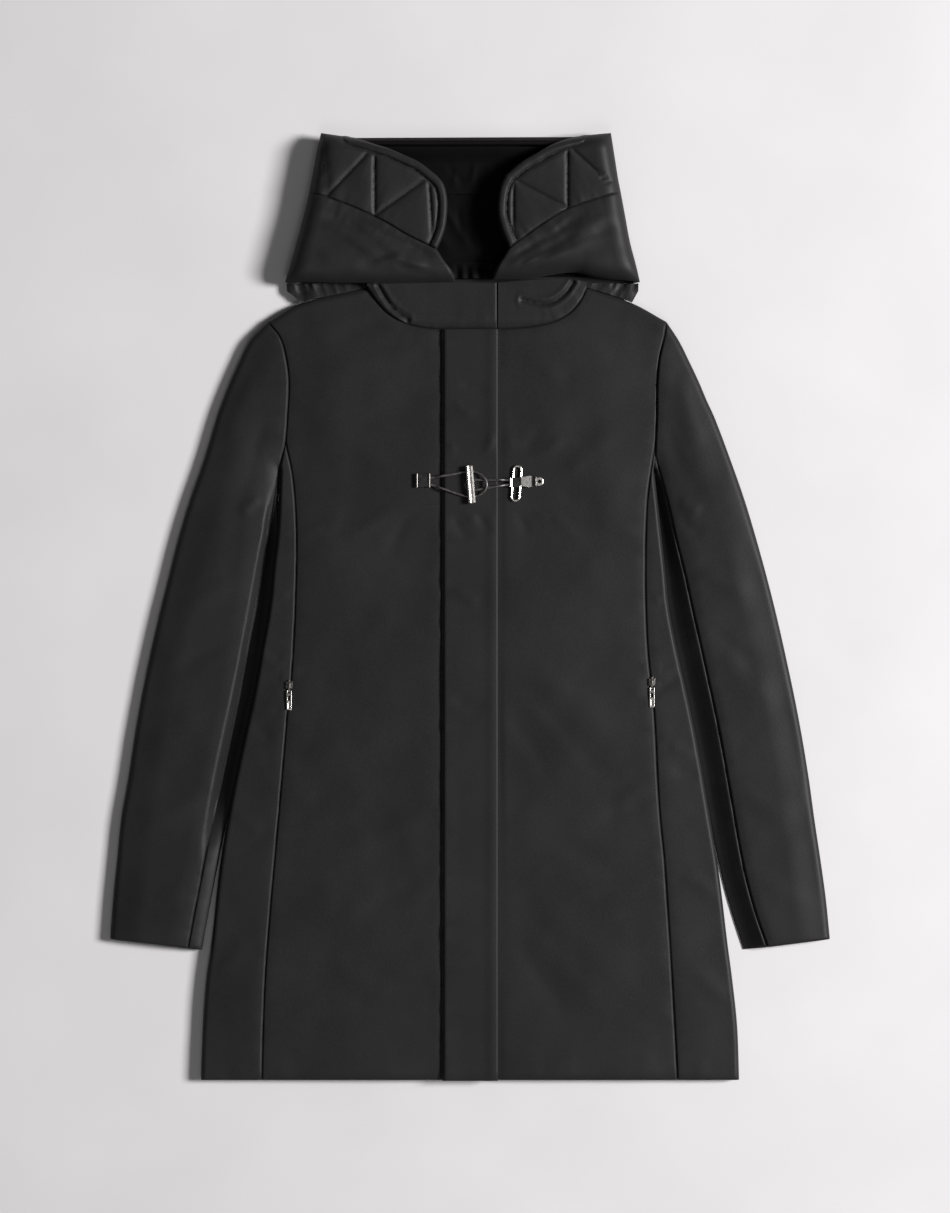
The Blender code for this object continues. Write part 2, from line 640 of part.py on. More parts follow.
def make_sleeve(side, name):
    """The top sleeve, and the under sleeve that wraps from the floor onto the upper side."""
    outer_line = line_of(SLEEVE_OUTER, side)
    inner_line = line_of(SLEEVE_INNER, side)
    wrap = getattr(SLEEVE_SEAM_INSET, side)
    sign = 1 if side == "left" else -1
    upper_armhole, lower_armhole = armhole_split(side)
    rows = 14
    inner_rows = resample(inner_line, rows)
    seam_start = (lower_armhole[0] + lower_armhole[1]) / 2 - (sign * SEAM, 0)
    grow = 0.3 + 0.7 * smooth_step(np.linspace(0, 1, rows + 1) / 0.35)[:, None]
    seam_rows = inner_rows + grow * np.array([-sign * wrap, 0])
    seam_rows[0] = seam_start
    cuff_width = np.linalg.norm(outer_line[-1] - inner_rows[-1])
    seam_rows[-1] = inner_rows[-1] + (outer_line[-1] - inner_rows[-1]) * wrap / cuff_width
    outer_rows = resample(outer_line, rows)
    edge_steps = round_steps(EDGE_RADIUS)
    armhole_top = join(with_points_at(upper_armhole, edge_steps), np.array([lower_armhole[0], seam_start]))
    columns = len(armhole_top) - 1
    cuff = side_of(np.array([outer_rows[-1], seam_rows[-1]]), near=edge_steps, count=columns - 4)
    edges = [RoundEdge(outer_line, EDGE_RADIUS), RoundEdge(inner_line, SLEEVE_ROUND)]

    def sleeve_crown(x, y):
        """The lift and the folds of the sleeve, low at its edges and its cuff."""
        outer_distance, _ = nearest_on(outer_line, x, y)
        inner_distance, _ = nearest_on(inner_line, x, y)
        middle = smooth_step(np.minimum(outer_distance, inner_distance) / 34)
        ends = smooth_step((y + 340) / 18)
        return (CROWN * 0.9 * middle + fold_relief(x, y, FOLDS)) * ends

    left, right, top, bottom = outer_rows[::-1], seam_rows[::-1], armhole_top, cuff
    inner_name = "right"
    if sign < 0:
        left, right, top, bottom = right, left, top[::-1], bottom[::-1]
        inner_name = "left"
    upper_panel("sleeve_top_" + name, (left, right, bottom, top), edges, (inner_name, "top"), sleeve_crown)

    # the strip on the upper side
    strip_top = side_of(np.array([seam_start, inner_rows[0]]), far=round_steps(8.0), count=1)
    strip_bottom = side_of(np.array([seam_rows[-1], inner_rows[-1]]), far=round_steps(8.0), count=1)
    strip = coons(seam_rows[::-1], inner_rows[::-1], strip_bottom, strip_top)
    # the side on the floor
    armhole_full = line_of(ARMHOLE, side)[::-1]
    armhole_full[0] = inner_rows[0]
    shoulder_length = lengths_along(armhole_full)[-1]
    floor_top = with_points_at(armhole_full, edge_steps + [shoulder_length - d for d in edge_steps])
    columns = len(floor_top) - 1
    floor_bottom = side_of(np.array([inner_rows[-1], outer_rows[-1]]), near=edge_steps,
                           far=edge_steps, count=columns - 8)
    floor = coons(inner_rows[::-1], outer_rows[::-1], floor_bottom, floor_top)
    for grid, seams in ((strip, ("left", "top")), (floor, ("top",))):
        for seam in seams:
            inset_side(grid, seam, SEAM / 2)
    high_outer, high_inner = layer(strip, edges, EDGE_RADIUS, CLOTH, True, ("left", "top"))
    low_edges = [RoundEdge(outer_line, EDGE_RADIUS), RoundEdge(inner_line, EDGE_RADIUS)]
    low_outer, low_inner = layer(floor, low_edges, EDGE_RADIUS, CLOTH, False, ("top",))
    share, _ = round_share(strip[..., 0], strip[..., 1], edges)
    high_outer[..., 2] += (sleeve_crown(strip[..., 0], strip[..., 1])
                           + edge_dip(share.shape, strip, ("left",))) * share
    for grid in (high_outer, high_inner):
        grid[:, -1, 2] = EDGE_RADIUS
    outer = np.concatenate([high_outer, low_outer[:, 1:]], axis=1)
    inner = np.concatenate([high_inner, low_inner[:, 1:]], axis=1)
    make_wall("sleeve_under_" + name, outer, inner, BLACK_TWILL)


def make_placket():
    """The fly strip: sewn at its left edge in the image, folded at its right one, lying on the left front."""
    ys = np.linspace(HEM, 277.5, 25)
    xs = np.array([0, 2.5, 6, 28, 50, 53.5, 55.2, 56]) - PLACKET_HALF
    x, y = np.meshgrid(xs, ys)
    base = 2 * EDGE_RADIUS + body_crown(x, y) + 0.55
    base[:, 0] = base[:, 1]
    sewn = smooth_step((x + PLACKET_HALF) / 5)
    folded = np.sqrt(np.maximum(0.02, 1 - np.clip((x - PLACKET_HALF + 3) / 3, 0, 1) ** 2))
    ends = smooth_step((y - HEM + 5) / 10) * smooth_step((277.5 - y + 5) / 10)
    top = base + 0.8 + (PLACKET_WALL - 0.8) * sewn * folded * (0.4 + 0.6 * ends)
    outer = np.dstack([x, y, top])
    inner = np.dstack([x, y, base])
    make_wall("placket", outer, inner, BLACK_TWILL)


def make_neckband(side, name):
    """One half of the stand, from the neckline up to the hood."""
    bottom = line_of(NECKLINE, side)
    top = line_of(BAND_TOP, side)
    if side == "left":
        # the wearer's right half overlaps the other, as far as the placket's folded edge
        bottom = join(bottom, resample(np.array([bottom[-1], (PLACKET_HALF, 278.0)]), 2))
        overlap = ((-42.0, 326.0), (-PLACKET_HALF, 324.6), (0.0, 324.45), (PLACKET_HALF, 324.3))
        top = np.vstack([top[:4], overlap])
    left = resample(np.array([bottom[0], top[0]]), BAND_ROWS)
    right = resample(np.array([bottom[-1], top[-1]]), BAND_ROWS)
    if side == "right":
        left, right, bottom, top = right, left, bottom[::-1], top[::-1]
    crease_left = points_of((Point(-92, 321), Point(-79, 301), Point(-62, 287)))
    crease_right = points_of((Point(102, 326), Point(90, 311), Point(78, 303), Point(70, 305)))

    def band_relief(x, y):
        """The stand's rise from the neckline, and its creases."""
        lifted = 3.8 * smooth_step((y - 276) / 14)
        return lifted + groove(x, y, crease_left, 1.6, 4) + groove(x, y, crease_right, 1.8, 4)

    upper_panel("neckband_" + name, (left, right, bottom, top), [], ("left", "right", "bottom"), band_relief)


# ---------------------------------------------------------------- hood

def hood_lines(side):
    """The hood's edge beside the brim, and beside the side panel."""
    edge = line_of(HOOD_EDGE, side)
    return edge[:5], edge[4:]


def hood_lift(x, y):
    """The loose flaps sink towards their free edges."""
    left, _ = nearest_on(line_of(HOOD_EDGE, "left"), x, y)
    right, _ = nearest_on(line_of(HOOD_EDGE, "right"), x, y)
    return -FLAP_SAG * smooth_step((np.minimum(left, right) - HOOD_RADIUS) / FLAP_SAG_REACH)


def hood_round_edges():
    """The edges where the hood folds over: its two sides and its top."""
    top = np.vstack([points_of(BRIM_TOP[:3]), points_of(BRIM_TOP_LEFT[:3])[::-1]])
    return [RoundEdge(line_of(HOOD_EDGE, "left"), HOOD_RADIUS),
            RoundEdge(line_of(HOOD_EDGE, "right"), HOOD_RADIUS), RoundEdge(top, HOOD_RADIUS)]


def hood_sides(side):
    """The seam, top, front and bottom lines of one flap."""
    if side == "left":
        return (points_of(BRIM_SEAM), points_of(BRIM_TOP), points_of(BRIM_FRONT),
                points_of(SIDE_FRONT_EDGE), points_of(HOOD_HEM), points_of(QUILT_RIGHT))
    return (points_of(BRIM_SEAM_LEFT), points_of(BRIM_TOP_LEFT), points_of(BRIM_FRONT_LEFT),
            points_of(SIDE_FRONT_EDGE_LEFT), points_of(HOOD_HEM_LEFT), points_of(QUILT_LEFT))


def make_hood_flap(side, name):
    """The quilted brim and the side panel of one flap, which fold over from the hood's edge."""
    seam, top, front, side_front, hem, quilt = hood_sides(side)
    brim_edge, side_edge = hood_lines(side)
    steps = round_steps(HOOD_RADIUS)
    edges = hood_round_edges()
    columns = 12
    brim_top = side_of(top, near=steps, count=columns - 4)
    brim_seam = side_of(seam, near=steps, count=columns - 4)
    rows = 11
    brim_front = side_of(front, count=rows)
    outer = side_of(brim_edge, count=rows)
    left, right = outer[::-1], brim_front[::-1]
    free = "right"
    if side == "right":
        left, right, brim_top, brim_seam = right, left, brim_top[::-1], brim_seam[::-1]
        free = "left"
    rolled = join(top[2:], front)

    def brim_relief(x, y):
        """The quilting and the roll at the free edge."""
        raised = groove(x, y, quilt, QUILT_DEPTH, QUILT_WIDTH)
        from_roll, _ = nearest_on(rolled, x, y)
        raised += -1.5 * np.exp(-((from_roll - ROLL_INSET) / 2.6) ** 2)
        raised += -1.6 * np.exp(-(from_roll / 2.4) ** 2)
        return raised + 1.0

    upper_panel("hood_brim_" + name, (left, right, brim_seam, brim_top), edges, ("bottom", free),
                brim_relief, radius=HOOD_RADIUS, lift=hood_lift)

    rows = 10
    side_seam = side_of(seam, near=steps, count=columns - 4)
    bottom = side_of(hem, near=steps, count=columns - 4)
    bottom_length = lengths_along(side_front)[-1]
    low = [d for d in steps if d < 0.8 * bottom_length]
    outer_low = side_of(side_edge[::-1], near=low, count=rows - len(low))
    front_low = side_of(side_front[::-1], near=low, count=rows - len(low))
    side_edges = edges + [RoundEdge(hem, HOOD_RADIUS)]
    left, right = outer_low, front_low
    if side == "right":
        left, right, side_seam, bottom = right, left, side_seam[::-1], bottom[::-1]

    def side_relief(x, y):
        """The folds of the side panel."""
        return fold_relief(x, y, HOOD_FOLDS) + 1.0

    upper_panel("hood_side_" + name, (left, right, bottom, side_seam), side_edges, ("top", free),
                side_relief, radius=HOOD_RADIUS, lift=hood_lift)


def make_hood_floor():
    """The hood's centre panel and the top of its brim, on the surface."""
    edges = hood_round_edges()
    steps = round_steps(HOOD_RADIUS)
    count = 6
    seam_line = np.array([(-161.0, 413.5), (151.0, 413.5)])
    seam = side_of(seam_line, near=steps, far=steps, count=count)
    bottom = side_of(np.array([(-185.0, 325.0), (170.0, 325.0)]), near=steps, far=steps, count=count)
    top = side_of(edges[2].line, near=steps, far=steps, count=count)
    left_high, left_low = hood_lines("left")
    right_high, right_low = hood_lines("right")
    rows = 5
    left, right = resample(left_low, rows)[::-1], resample(right_low, rows)[::-1]
    lower_panel("hood_centre", (left, right, bottom, seam), edges, ("top", "bottom"), radius=HOOD_RADIUS)
    left = side_of(left_high, near=steps, count=2)[::-1]
    right = side_of(right_high, near=steps, count=2)[::-1]
    lower_panel("hood_brim_top", (left, right, seam, top), edges, ("bottom",), radius=HOOD_RADIUS)


def plain_slab(name, sides, base, thickness, finish, relief=None, lift=None):
    """A thin piece that lies on a flat one, its relief on its outer face and its lift on both."""
    plan = coons(*sides)
    low = np.full(plan.shape[:2], base) + (lift(plan[..., 0], plan[..., 1]) if lift else 0.0)
    raised = relief(plan[..., 0], plan[..., 1]) if relief else 0.0
    return make_wall(name, np.dstack([plan, low + thickness + raised]), np.dstack([plan, low]), finish)


def rectangle(left, right, bottom, top, columns, rows):
    """The four sides of an upright rectangle, cut in equal steps."""
    def side(start, end, count):
        """One of them."""
        return resample(np.array([start, end], float), count)

    return (side((left, bottom), (left, top), rows), side((right, bottom), (right, top), rows),
            side((left, bottom), (right, bottom), columns), side((left, top), (right, top), columns))


def make_hood_inside():
    """The lining, the brim's facing and the gathered neck, where the hood's opening shows them."""
    plain_slab("hood_lining", rectangle(-135, 122, 331, 413, 10, 4), CLOTH + SEAM, 2.0, BLACK_LINING)

    def facing_rise(x, y):
        """The facing lies a little proud of the lining and rises to the rolled edge."""
        return 1.6 + (FACING_RISE - 1.6) * smooth_step((y - FACING_TOP) / FACING_RISE_REACH + 1)

    plain_slab("hood_facing", rectangle(-120, 110, 413.4, FACING_TOP, 10, 8), CLOTH + SEAM, 2.4, BLACK_LINING,
               lift=facing_rise)

    def ruffle(x, y):
        """The gathers, high at the neckline."""
        waves = 1.6 * np.sin((x + 15) / 37 * 2 * math.pi * 5)
        return (1.6 + waves) * smooth_step((345 - y) / 12) + 2.0 * smooth_step((340 - y) / 10)

    plain_slab("hood_neck_gather", rectangle(-24, 32, 328.7, 346, 32, 3), CLOTH + 2.0 + 2 * SEAM, 2.6,
               BLACK_LINING, ruffle)


def make_hood_edge():
    """The rolled edge of the brim along the top of the opening."""
    ring = 8
    line = resample(np.array([(-106.0, 463.4), (94.0, 463.8)]), 12)
    points, faces = [], []
    for x, y in line:
        for k in range(ring):
            angle = 2 * math.pi * k / ring
            points.append((x, y + ROLL_RADIUS * math.cos(angle), ROLL_HEIGHT + ROLL_RADIUS * math.sin(angle)))
    for i in range(len(line) - 1):
        for k in range(ring):
            a, b = i * ring + k, i * ring + (k + 1) % ring
            faces.append((a, b, b + ring, a + ring))
    faces.append(tuple(range(ring)))
    faces.append(tuple(range(len(points) - ring, len(points))))
    make_object("hood_edge_top", points, faces, BLACK_TWILL)


def make_hood_base(side, name):
    """The gathers where the hood turns under towards the neckline."""
    flip = side == "right"
    outer_x, inner_x, low_x = (169.0, 124.0, 162.5) if flip else (-184.0, -110.0, -168.5)
    top = resample(np.array([(outer_x, BASE_TOP), (inner_x, BASE_TOP)]), 16)
    bottom = resample(np.array([(low_x, 305.8), (inner_x, 322.2)]), 16)
    left = resample(np.array([(low_x, 305.8), (outer_x, 317.0), (outer_x, BASE_TOP)]), 4)
    right = resample(np.array([(inner_x, 322.2), (inner_x, BASE_TOP)]), 4)
    if flip:
        left, right, top, bottom = right, left, top[::-1], bottom[::-1]
    plan = coons(left, right, bottom, top)
    x, y = plan[..., 0], plan[..., 1]
    from_shoulder, _ = nearest_on(line_of(SHOULDER, side), x, y)
    rise = smooth_step(from_shoulder / 12)
    waves = 0.9 * np.sin((x - outer_x) / 74 * 2 * math.pi * 4) * smooth_step((BASE_TOP - y) / 5)
    outer = np.dstack([plan, 12.0 + 3.6 * rise + waves])
    inner = np.dstack([plan, 7.0 + 3.2 * rise])
    make_wall("hood_base_" + name, outer, inner, BLACK_TWILL)


# ---------------------------------------------------------------- hard pieces

def seat_height(names, points):
    """The highest cloth under these plan points, over the named pieces."""
    highest = 0.0
    for name in names:
        mesh = bpy.data.objects[name].data
        tree = BVHTree.FromPolygons([v.co for v in mesh.vertices], [p.vertices for p in mesh.polygons])
        for x, y in points:
            hit, _, _, _ = tree.ray_cast(Vector((x * MM, y * MM, 0.1)), Vector((0, 0, -1)))
            if hit:
                highest = max(highest, hit.z / MM)
    return highest


def footprint(x, y, width, length):
    """Plan points spread over a rectangle round a place."""
    return [(x + i * width / 4, y + j * length / 6) for i in range(-2, 3) for j in range(-3, 4)]


def turned(points, centre, degrees):
    """Plan points turned about a centre."""
    angle = math.radians(degrees)
    c, s = math.cos(angle), math.sin(angle)
    return [(centre[0] + c * (x - centre[0]) - s * (y - centre[1]),
             centre[1] + s * (x - centre[0]) + c * (y - centre[1])) for x, y in points]


def prism(name, outline, low, high, finish, bevel=0.0):
    """A plate with this outline between two heights."""
    count = len(outline)
    points = [(x, y, low) for x, y in outline] + [(x, y, high) for x, y in outline]
    faces = [tuple(range(count))[::-1], tuple(range(count, 2 * count))]
    faces += [(i, (i + 1) % count, count + (i + 1) % count, count + i) for i in range(count)]
    obj = make_object(name, points, faces, finish)
    if bevel:
        edge = obj.modifiers.new("soft_edges", "BEVEL")
        edge.width = bevel * MM
        edge.segments = 2
        edge.limit_method = "ANGLE"
    return obj


def block(name, x, y, low, size, finish, bevel, degrees=0.0):
    """A rectangular plate with soft edges."""
    half_x, half_y = size[0] / 2, size[1] / 2
    corners = [(x - half_x, y - half_y), (x + half_x, y - half_y),
               (x + half_x, y + half_y), (x - half_x, y + half_y)]
    return prism(name, turned(corners, (x, y), degrees), low, low + size[2], finish, bevel)


def arc(x, y, radius, start, end, steps):
    """Plan points on an arc, its angles in degrees."""
    angles = [math.radians(start + (end - start) * k / steps) for k in range(steps + 1)]
    return [(x + radius * math.cos(angle), y + radius * math.sin(angle)) for angle in angles]


def smooth_route(route, step):
    """A smooth curve through the route's points, cut every step."""
    route = np.array(route, float)
    ends = np.vstack([2 * route[0] - route[1], route, 2 * route[-1] - route[-2]])
    fine = []
    for a, b, c, d in zip(ends[:-3], ends[1:-2], ends[2:-1], ends[3:]):
        for share in np.linspace(0, 1, 8, endpoint=False):
            fine.append(0.5 * (2 * b + (c - a) * share + (2 * a - 5 * b + 4 * c - d) * share ** 2
                               + (3 * b - a - 3 * c + d) * share ** 3))
    fine = np.array(fine + [route[-1]])
    along = lengths_along(fine)
    places = np.linspace(0, along[-1], max(2, round(along[-1] / step)) + 1)
    return np.stack([np.interp(places, along, fine[:, k]) for k in range(3)], axis=1)


def tube(name, points, radius, finish, closed=False, resolution=2):
    """A round cord or wire along these points."""
    curve = bpy.data.curves.new(name, "CURVE")
    curve.dimensions = "3D"
    spline = curve.splines.new("POLY")
    spline.points.add(len(points) - 1)
    for place, point in zip(spline.points, points):
        place.co = (*(np.array(point) * MM), 1)
    spline.use_cyclic_u = closed
    curve.bevel_depth = radius * MM
    curve.bevel_resolution = resolution
    curve.use_fill_caps = not closed
    obj = bpy.data.objects.new(name, curve)
    bpy.context.scene.collection.objects.link(obj)
    add_material(obj, finish)
    return obj


def route_of(table, levels):
    """A cord's route from its table, with the heights of what it lies on."""
    return [(p.x, p.y, levels[p.level] + p.above) for p in table]


def make_cords(tab_seat, clamp_seat):
    """The loop, the bar's cord and the clamp that holds it; returns the height that the cords lie at."""
    fly = seat_height(["placket"], footprint(0, 122, 40, 40)) + SEAM + CORD / 2
    levels = {"tab": tab_seat + 1.7, "fly": fly, "crossing": fly + CORD + SEAM, "clamp": clamp_seat + 2.4}
    tube("toggle_loop", smooth_route(route_of(LOOP_ROUTE, levels), 2.5 * CORD), CORD / 2, BLACK_LEATHER)
    block("cord_clamp", CORD_CLAMP.x, CORD_CLAMP.y, clamp_seat, (1.4, 9.0, 4.4), POLISHED_STEEL, 0.3)
    tube("bar_cord", smooth_route(route_of(BAR_CORD_ROUTE, levels), 2.5 * CORD), CORD / 2, BLACK_LEATHER)
    return fly


def make_bar(height):
    """The toggle bar: two rods side by side, in one piece, its middle at this height."""
    meet = math.degrees(math.acos(BAR_HALF_PITCH / BAR_ROD))
    section = (arc(BAR_HALF_PITCH, 0, BAR_ROD, -180 + meet, 180 - meet, 10)
               + arc(-BAR_HALF_PITCH, 0, BAR_ROD, meet, 360 - meet, 10))
    count = len(section)
    tilt = math.radians(BAR_TILT)
    ends = ((-BAR_HALF, 0.72), (0.7 - BAR_HALF, 1.0), (BAR_HALF - 0.7, 1.0), (BAR_HALF, 0.72))
    points, faces = [], []
    for place, size in ends:
        for x, z in section:
            points.append((BAR.x + x * size * math.cos(tilt) - place * math.sin(tilt),
                           BAR.y + x * size * math.sin(tilt) + place * math.cos(tilt), height + z * size))
    for ring in range(len(ends) - 1):
        for k in range(count):
            a, b = ring * count + k, ring * count + (k + 1) % count
            faces.append((a, b, b + count, a + count))
    faces += [tuple(range(count)), tuple(range(3 * count, 4 * count))]
    make_object("toggle_bar", points, faces, POLISHED_STEEL)


def make_ring(seat):
    """The oval ring and the leather wrapped round it; returns the height of the wrap's underside."""
    height = seat + RING_WIRE
    oval = (arc(RING.x, RING.y + RING_HALF_STRAIGHT, RING_HALF_WIDTH, 0, 180, 8)
            + arc(RING.x, RING.y - RING_HALF_STRAIGHT, RING_HALF_WIDTH, 180, 360, 8))
    route = [(x, y, height) for x, y in turned(oval, RING, -BAR_TILT)]
    tube("toggle_ring", route, RING_WIRE, POLISHED_STEEL, closed=True)
    wrap_low = height + RING_WIRE + SEAM
    block("ring_wrap", WRAP.x, WRAP.y, wrap_low, (7.6, 10.0, 1.6), BLACK_LEATHER, 0.4)
    return wrap_low


def make_hook(start_low):
    """The flat hook, which slopes from the wrap down to the cloth, with its eye and its dark band."""
    low = seat_height(["front_left_centre"], footprint(66, 125.5, 16, 12)) + SEAM
    slope = (start_low - low) / (HOOK_TIP - HOOK_START)
    outline = ([(p.x, p.y) for p in HOOK_LOW_EDGE] + arc(69.3, HOOK_EYE.y, 4.4, -80, 80, 10)
               + [(p.x, p.y) for p in HOOK_HIGH_EDGE])
    hook = prism("toggle_hook", outline, 0, HOOK_THICKNESS, POLISHED_STEEL, 0.5)
    for vertex in hook.data.vertices:
        vertex.co.z += (low + slope * (HOOK_TIP - vertex.co.x / MM)) * MM
    bpy.ops.mesh.primitive_cylinder_add(vertices=16, radius=HOOK_EYE_RADIUS * MM, depth=20 * MM,
                                        location=(HOOK_EYE.x * MM, HOOK_EYE.y * MM, (low + 2) * MM))
    cutter = bpy.context.object
    cutter.name = "hook_hole_cutter"
    cut_away(hook, cutter)
    band_low = low + slope * (HOOK_TIP - HOOK_BAND.x + 2.0) + HOOK_THICKNESS + SEAM
    block("hook_band", HOOK_BAND.x, HOOK_BAND.y, band_low, (3.6, 10.4, 0.8), DARK_STEEL, 0.2)


def cut_away(obj, cutter):
    """Cuts the cutter's shape out of an object."""
    cutter.hide_render = True
    cutter.display_type = "WIRE"
    cut = obj.modifiers.new("cut", "BOOLEAN")
    cut.operation = "DIFFERENCE"
    cut.object = cutter


def make_toggle():
    """The toggle fastening: tab and loop on the right front, ring, hook and bar cord on the left one."""
    tab_seat = seat_height(["front_right_centre"], footprint(TAB.x, TAB.y, 15, 14)) + SEAM
    block("toggle_tab", TAB.x, TAB.y, tab_seat, (10.0, 13.0, 2.6), BLACK_LEATHER, 0.4)
    for name, x in TAB_CLAMPS:
        block(name, x, TAB.y, tab_seat, (1.8, 14.0, 3.4), POLISHED_STEEL, 0.4)
    ring_seat = seat_height(["front_left_centre"], footprint(RING.x, RING.y, 12, 40)) + SEAM
    cords = make_cords(tab_seat, ring_seat)
    make_bar(cords + CORD / 2 + SEAM + BAR_ROD)
    make_hook(make_ring(ring_seat))


def make_zip(side, name):
    """The slider of a pocket zip, sunk in the princess seam, and its pull tab."""
    x, y = ZIP_PLACES[side]
    pieces = ["front_" + name + "_centre", "side_front_" + name]
    seat = seat_height(pieces, footprint(x, y - 11, 6, 34)) + SEAM
    pivot_y = y - 5.0
    outline = [(x - 3.2, y + 4.5), (x - 3.2, y - 2.6), (x - 1.0, y - 2.6), (x - 1.0, pivot_y - 1.2),
               (x + 1.0, pivot_y - 1.2), (x + 1.0, y - 2.6), (x + 3.2, y - 2.6), (x + 3.2, y + 4.5),
               (x + 1.6, y + 6.0), (x - 1.6, y + 6.0)]
    prism("zip_slider_" + name, outline, seat, seat + 2.4, POLISHED_STEEL)
    pull = [(-2.6, 0.9), (-1.4, 0.9), (-1.4, -2.4), (1.4, -2.4), (1.4, 0.9), (2.6, 0.9),
            (2.6, -19.0), (-2.6, -19.0)]
    tab = prism("zip_pull_" + name, pull, -0.6, 0.6, POLISHED_STEEL)
    tab.location = (x * MM, pivot_y * MM, (seat + 1.0) * MM)
    bpy.ops.mesh.primitive_cube_add(size=1, location=(x * MM, (pivot_y - 7.0) * MM, (seat + 1.0) * MM))
    cutter = bpy.context.object
    cutter.name = "zip_pull_cutter_" + name
    cutter.scale = (2.4 * MM, 5.0 * MM, 6.0 * MM)
    cut_away(tab, cutter)


def main():
    """Builds every piece, the cloth before the hardware that lies on it."""
    clear_scene()
    for side, name in (("left", "right"), ("right", "left")):
        make_body(side, name)
        make_sleeve(side, name)
        make_neckband(side, name)
        make_hood_flap(side, name)
        make_hood_base(side, name)
    make_back()
    make_placket()
    make_hood_floor()
    make_hood_inside()
    make_hood_edge()
    make_toggle()
    for side, name in (("left", "right"), ("right", "left")):
        make_zip(side, name)


main()
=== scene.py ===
"""The looks of a women's hooded toggle coat, laid flat: its cloth, seams, folds and hardware.

Tables are in millimetres in the coat's own frame, with X to the image's right and Y towards the
hood, and meshes are in metres. Every cloth piece is a padded wall over the form of its solid.
"""

import logging
import math
from collections import namedtuple
from collections.abc import Callable, Sequence
from dataclasses import dataclass, field
from enum import Enum

import bmesh
import bpy
import numpy as np
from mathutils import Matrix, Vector
from mathutils.bvhtree import BVHTree


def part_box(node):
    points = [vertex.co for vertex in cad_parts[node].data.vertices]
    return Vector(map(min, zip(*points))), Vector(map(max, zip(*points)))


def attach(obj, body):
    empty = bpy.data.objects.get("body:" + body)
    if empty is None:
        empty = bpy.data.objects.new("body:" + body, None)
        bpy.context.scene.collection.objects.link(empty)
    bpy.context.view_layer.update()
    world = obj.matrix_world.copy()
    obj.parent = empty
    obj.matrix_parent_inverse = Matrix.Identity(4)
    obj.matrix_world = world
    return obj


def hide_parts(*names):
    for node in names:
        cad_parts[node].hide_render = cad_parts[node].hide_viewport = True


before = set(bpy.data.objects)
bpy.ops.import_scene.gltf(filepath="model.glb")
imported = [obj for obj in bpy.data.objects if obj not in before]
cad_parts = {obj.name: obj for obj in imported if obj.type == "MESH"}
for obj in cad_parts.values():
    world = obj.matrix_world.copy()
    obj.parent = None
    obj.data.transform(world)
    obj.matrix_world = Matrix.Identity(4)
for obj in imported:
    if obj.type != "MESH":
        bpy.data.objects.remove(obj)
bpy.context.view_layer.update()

LOG = logging.getLogger("coat")
MM = 0.001

CLOTH = 6.0
LAYER_GAP = 0.6  # between the two layers of a flat sleeve or body
SEAM = 0.3  # gap between pieces that are sewn together
EDGE_RADIUS = CLOTH + LAYER_GAP / 2
SIDE_ROUND = 4.2  # the front turns down more tightly along the body's sides
HOOD_RADIUS = 17.0  # half the height of the folded hood
HEM = -474.0
CROWN = 3.4  # how far the padded cloth rises in the middle
SEAM_DIP = 1.5  # the sharp dip at a seam, in a shallow hollow
SEAM_DIP_WIDTH = 0.9
SEAM_HOLLOW = 0.45
SEAM_HOLLOW_WIDTH = 5.0
PLACKET_HALF = 28.0
PLACKET_WALL = 3.4
BASE_TOP = 324.4  # upper end of the gathers beside the neck
SLEEVE_ROUND = 15.0  # the sleeve's turn towards the body
QUILT_DEPTH = 1.7
QUILT_WIDTH = 1.5
ROLL_INSET = 9.0  # from the brim's free edge to its stitched line
FLAP_SAG = 2.0  # how far the hood's loose flaps sink
FLAP_SAG_REACH = 104.0
STEP = 3.4  # grid spacing of the big panels
FINE_STEP = 1.3  # grid spacing of the hood
NECK_Y = 278.0  # where the neckline crosses the middle
PRESS_DEPTH = 0.8  # of the hollow under each slider
PRESS_WIDTH = 9
PRESS_HEIGHT = 12
ROUND_RING = 6  # corners of the thread's section
SHARP_CLOTH = 62  # degrees above which an edge stays sharp
SHARP_CORD = 50
SHARP_PLATE = 40
DIAGONAL_BANDS = math.sqrt(200)  # the wave texture's own frequency along a diagonal

EdgeRow = namedtuple("EdgeRow", "y left right")
Point = namedtuple("Point", "x y")
Fold = namedtuple("Fold", "x0 y0 x1 y1 width height")
RoundEdge = namedtuple("RoundEdge", "line width")
Sides = namedtuple("Sides", "left right bottom top")
Rest = namedtuple("Rest", "x y half_width half_height")
Light = namedtuple("Light", "name place size power")

Line = np.ndarray
Socket = bpy.types.NodeSocket
Place = tuple[float, float] | np.ndarray
Relief = Callable[[np.ndarray, np.ndarray], np.ndarray]


class Side(Enum):
    """Which side of the image a piece is on."""

    LEFT = "left"
    RIGHT = "right"

    @property
    def wearer(self) -> str:
        """The wearer's side, which the nodes are named for."""
        return "right" if self is Side.LEFT else "left"

    @property
    def sign(self) -> int:
        """1 where the middle of the coat lies towards +X, and -1 where it lies towards -X."""
        return 1 if self is Side.LEFT else -1


class Layer(Enum):
    """Which of the two layers of the flat coat a piece lies in."""

    UPPER = 1.0
    LOWER = -1.0


def edge_rows(*rows: tuple[float, float, float]) -> tuple[EdgeRow, ...]:
    """A table of edges: y, then x on the left and on the right."""
    return tuple(EdgeRow(*row) for row in rows)


def points(*rows: tuple[float, float]) -> tuple[Point, ...]:
    """A table of places: x, then y."""
    return tuple(Point(*row) for row in rows)


def folds(*rows: tuple[float, float, float, float, float, float]) -> tuple[Fold, ...]:
    """A table of folds: x and y of both ends, then width and height, which is negative in a trough."""
    return tuple(Fold(*row) for row in rows)


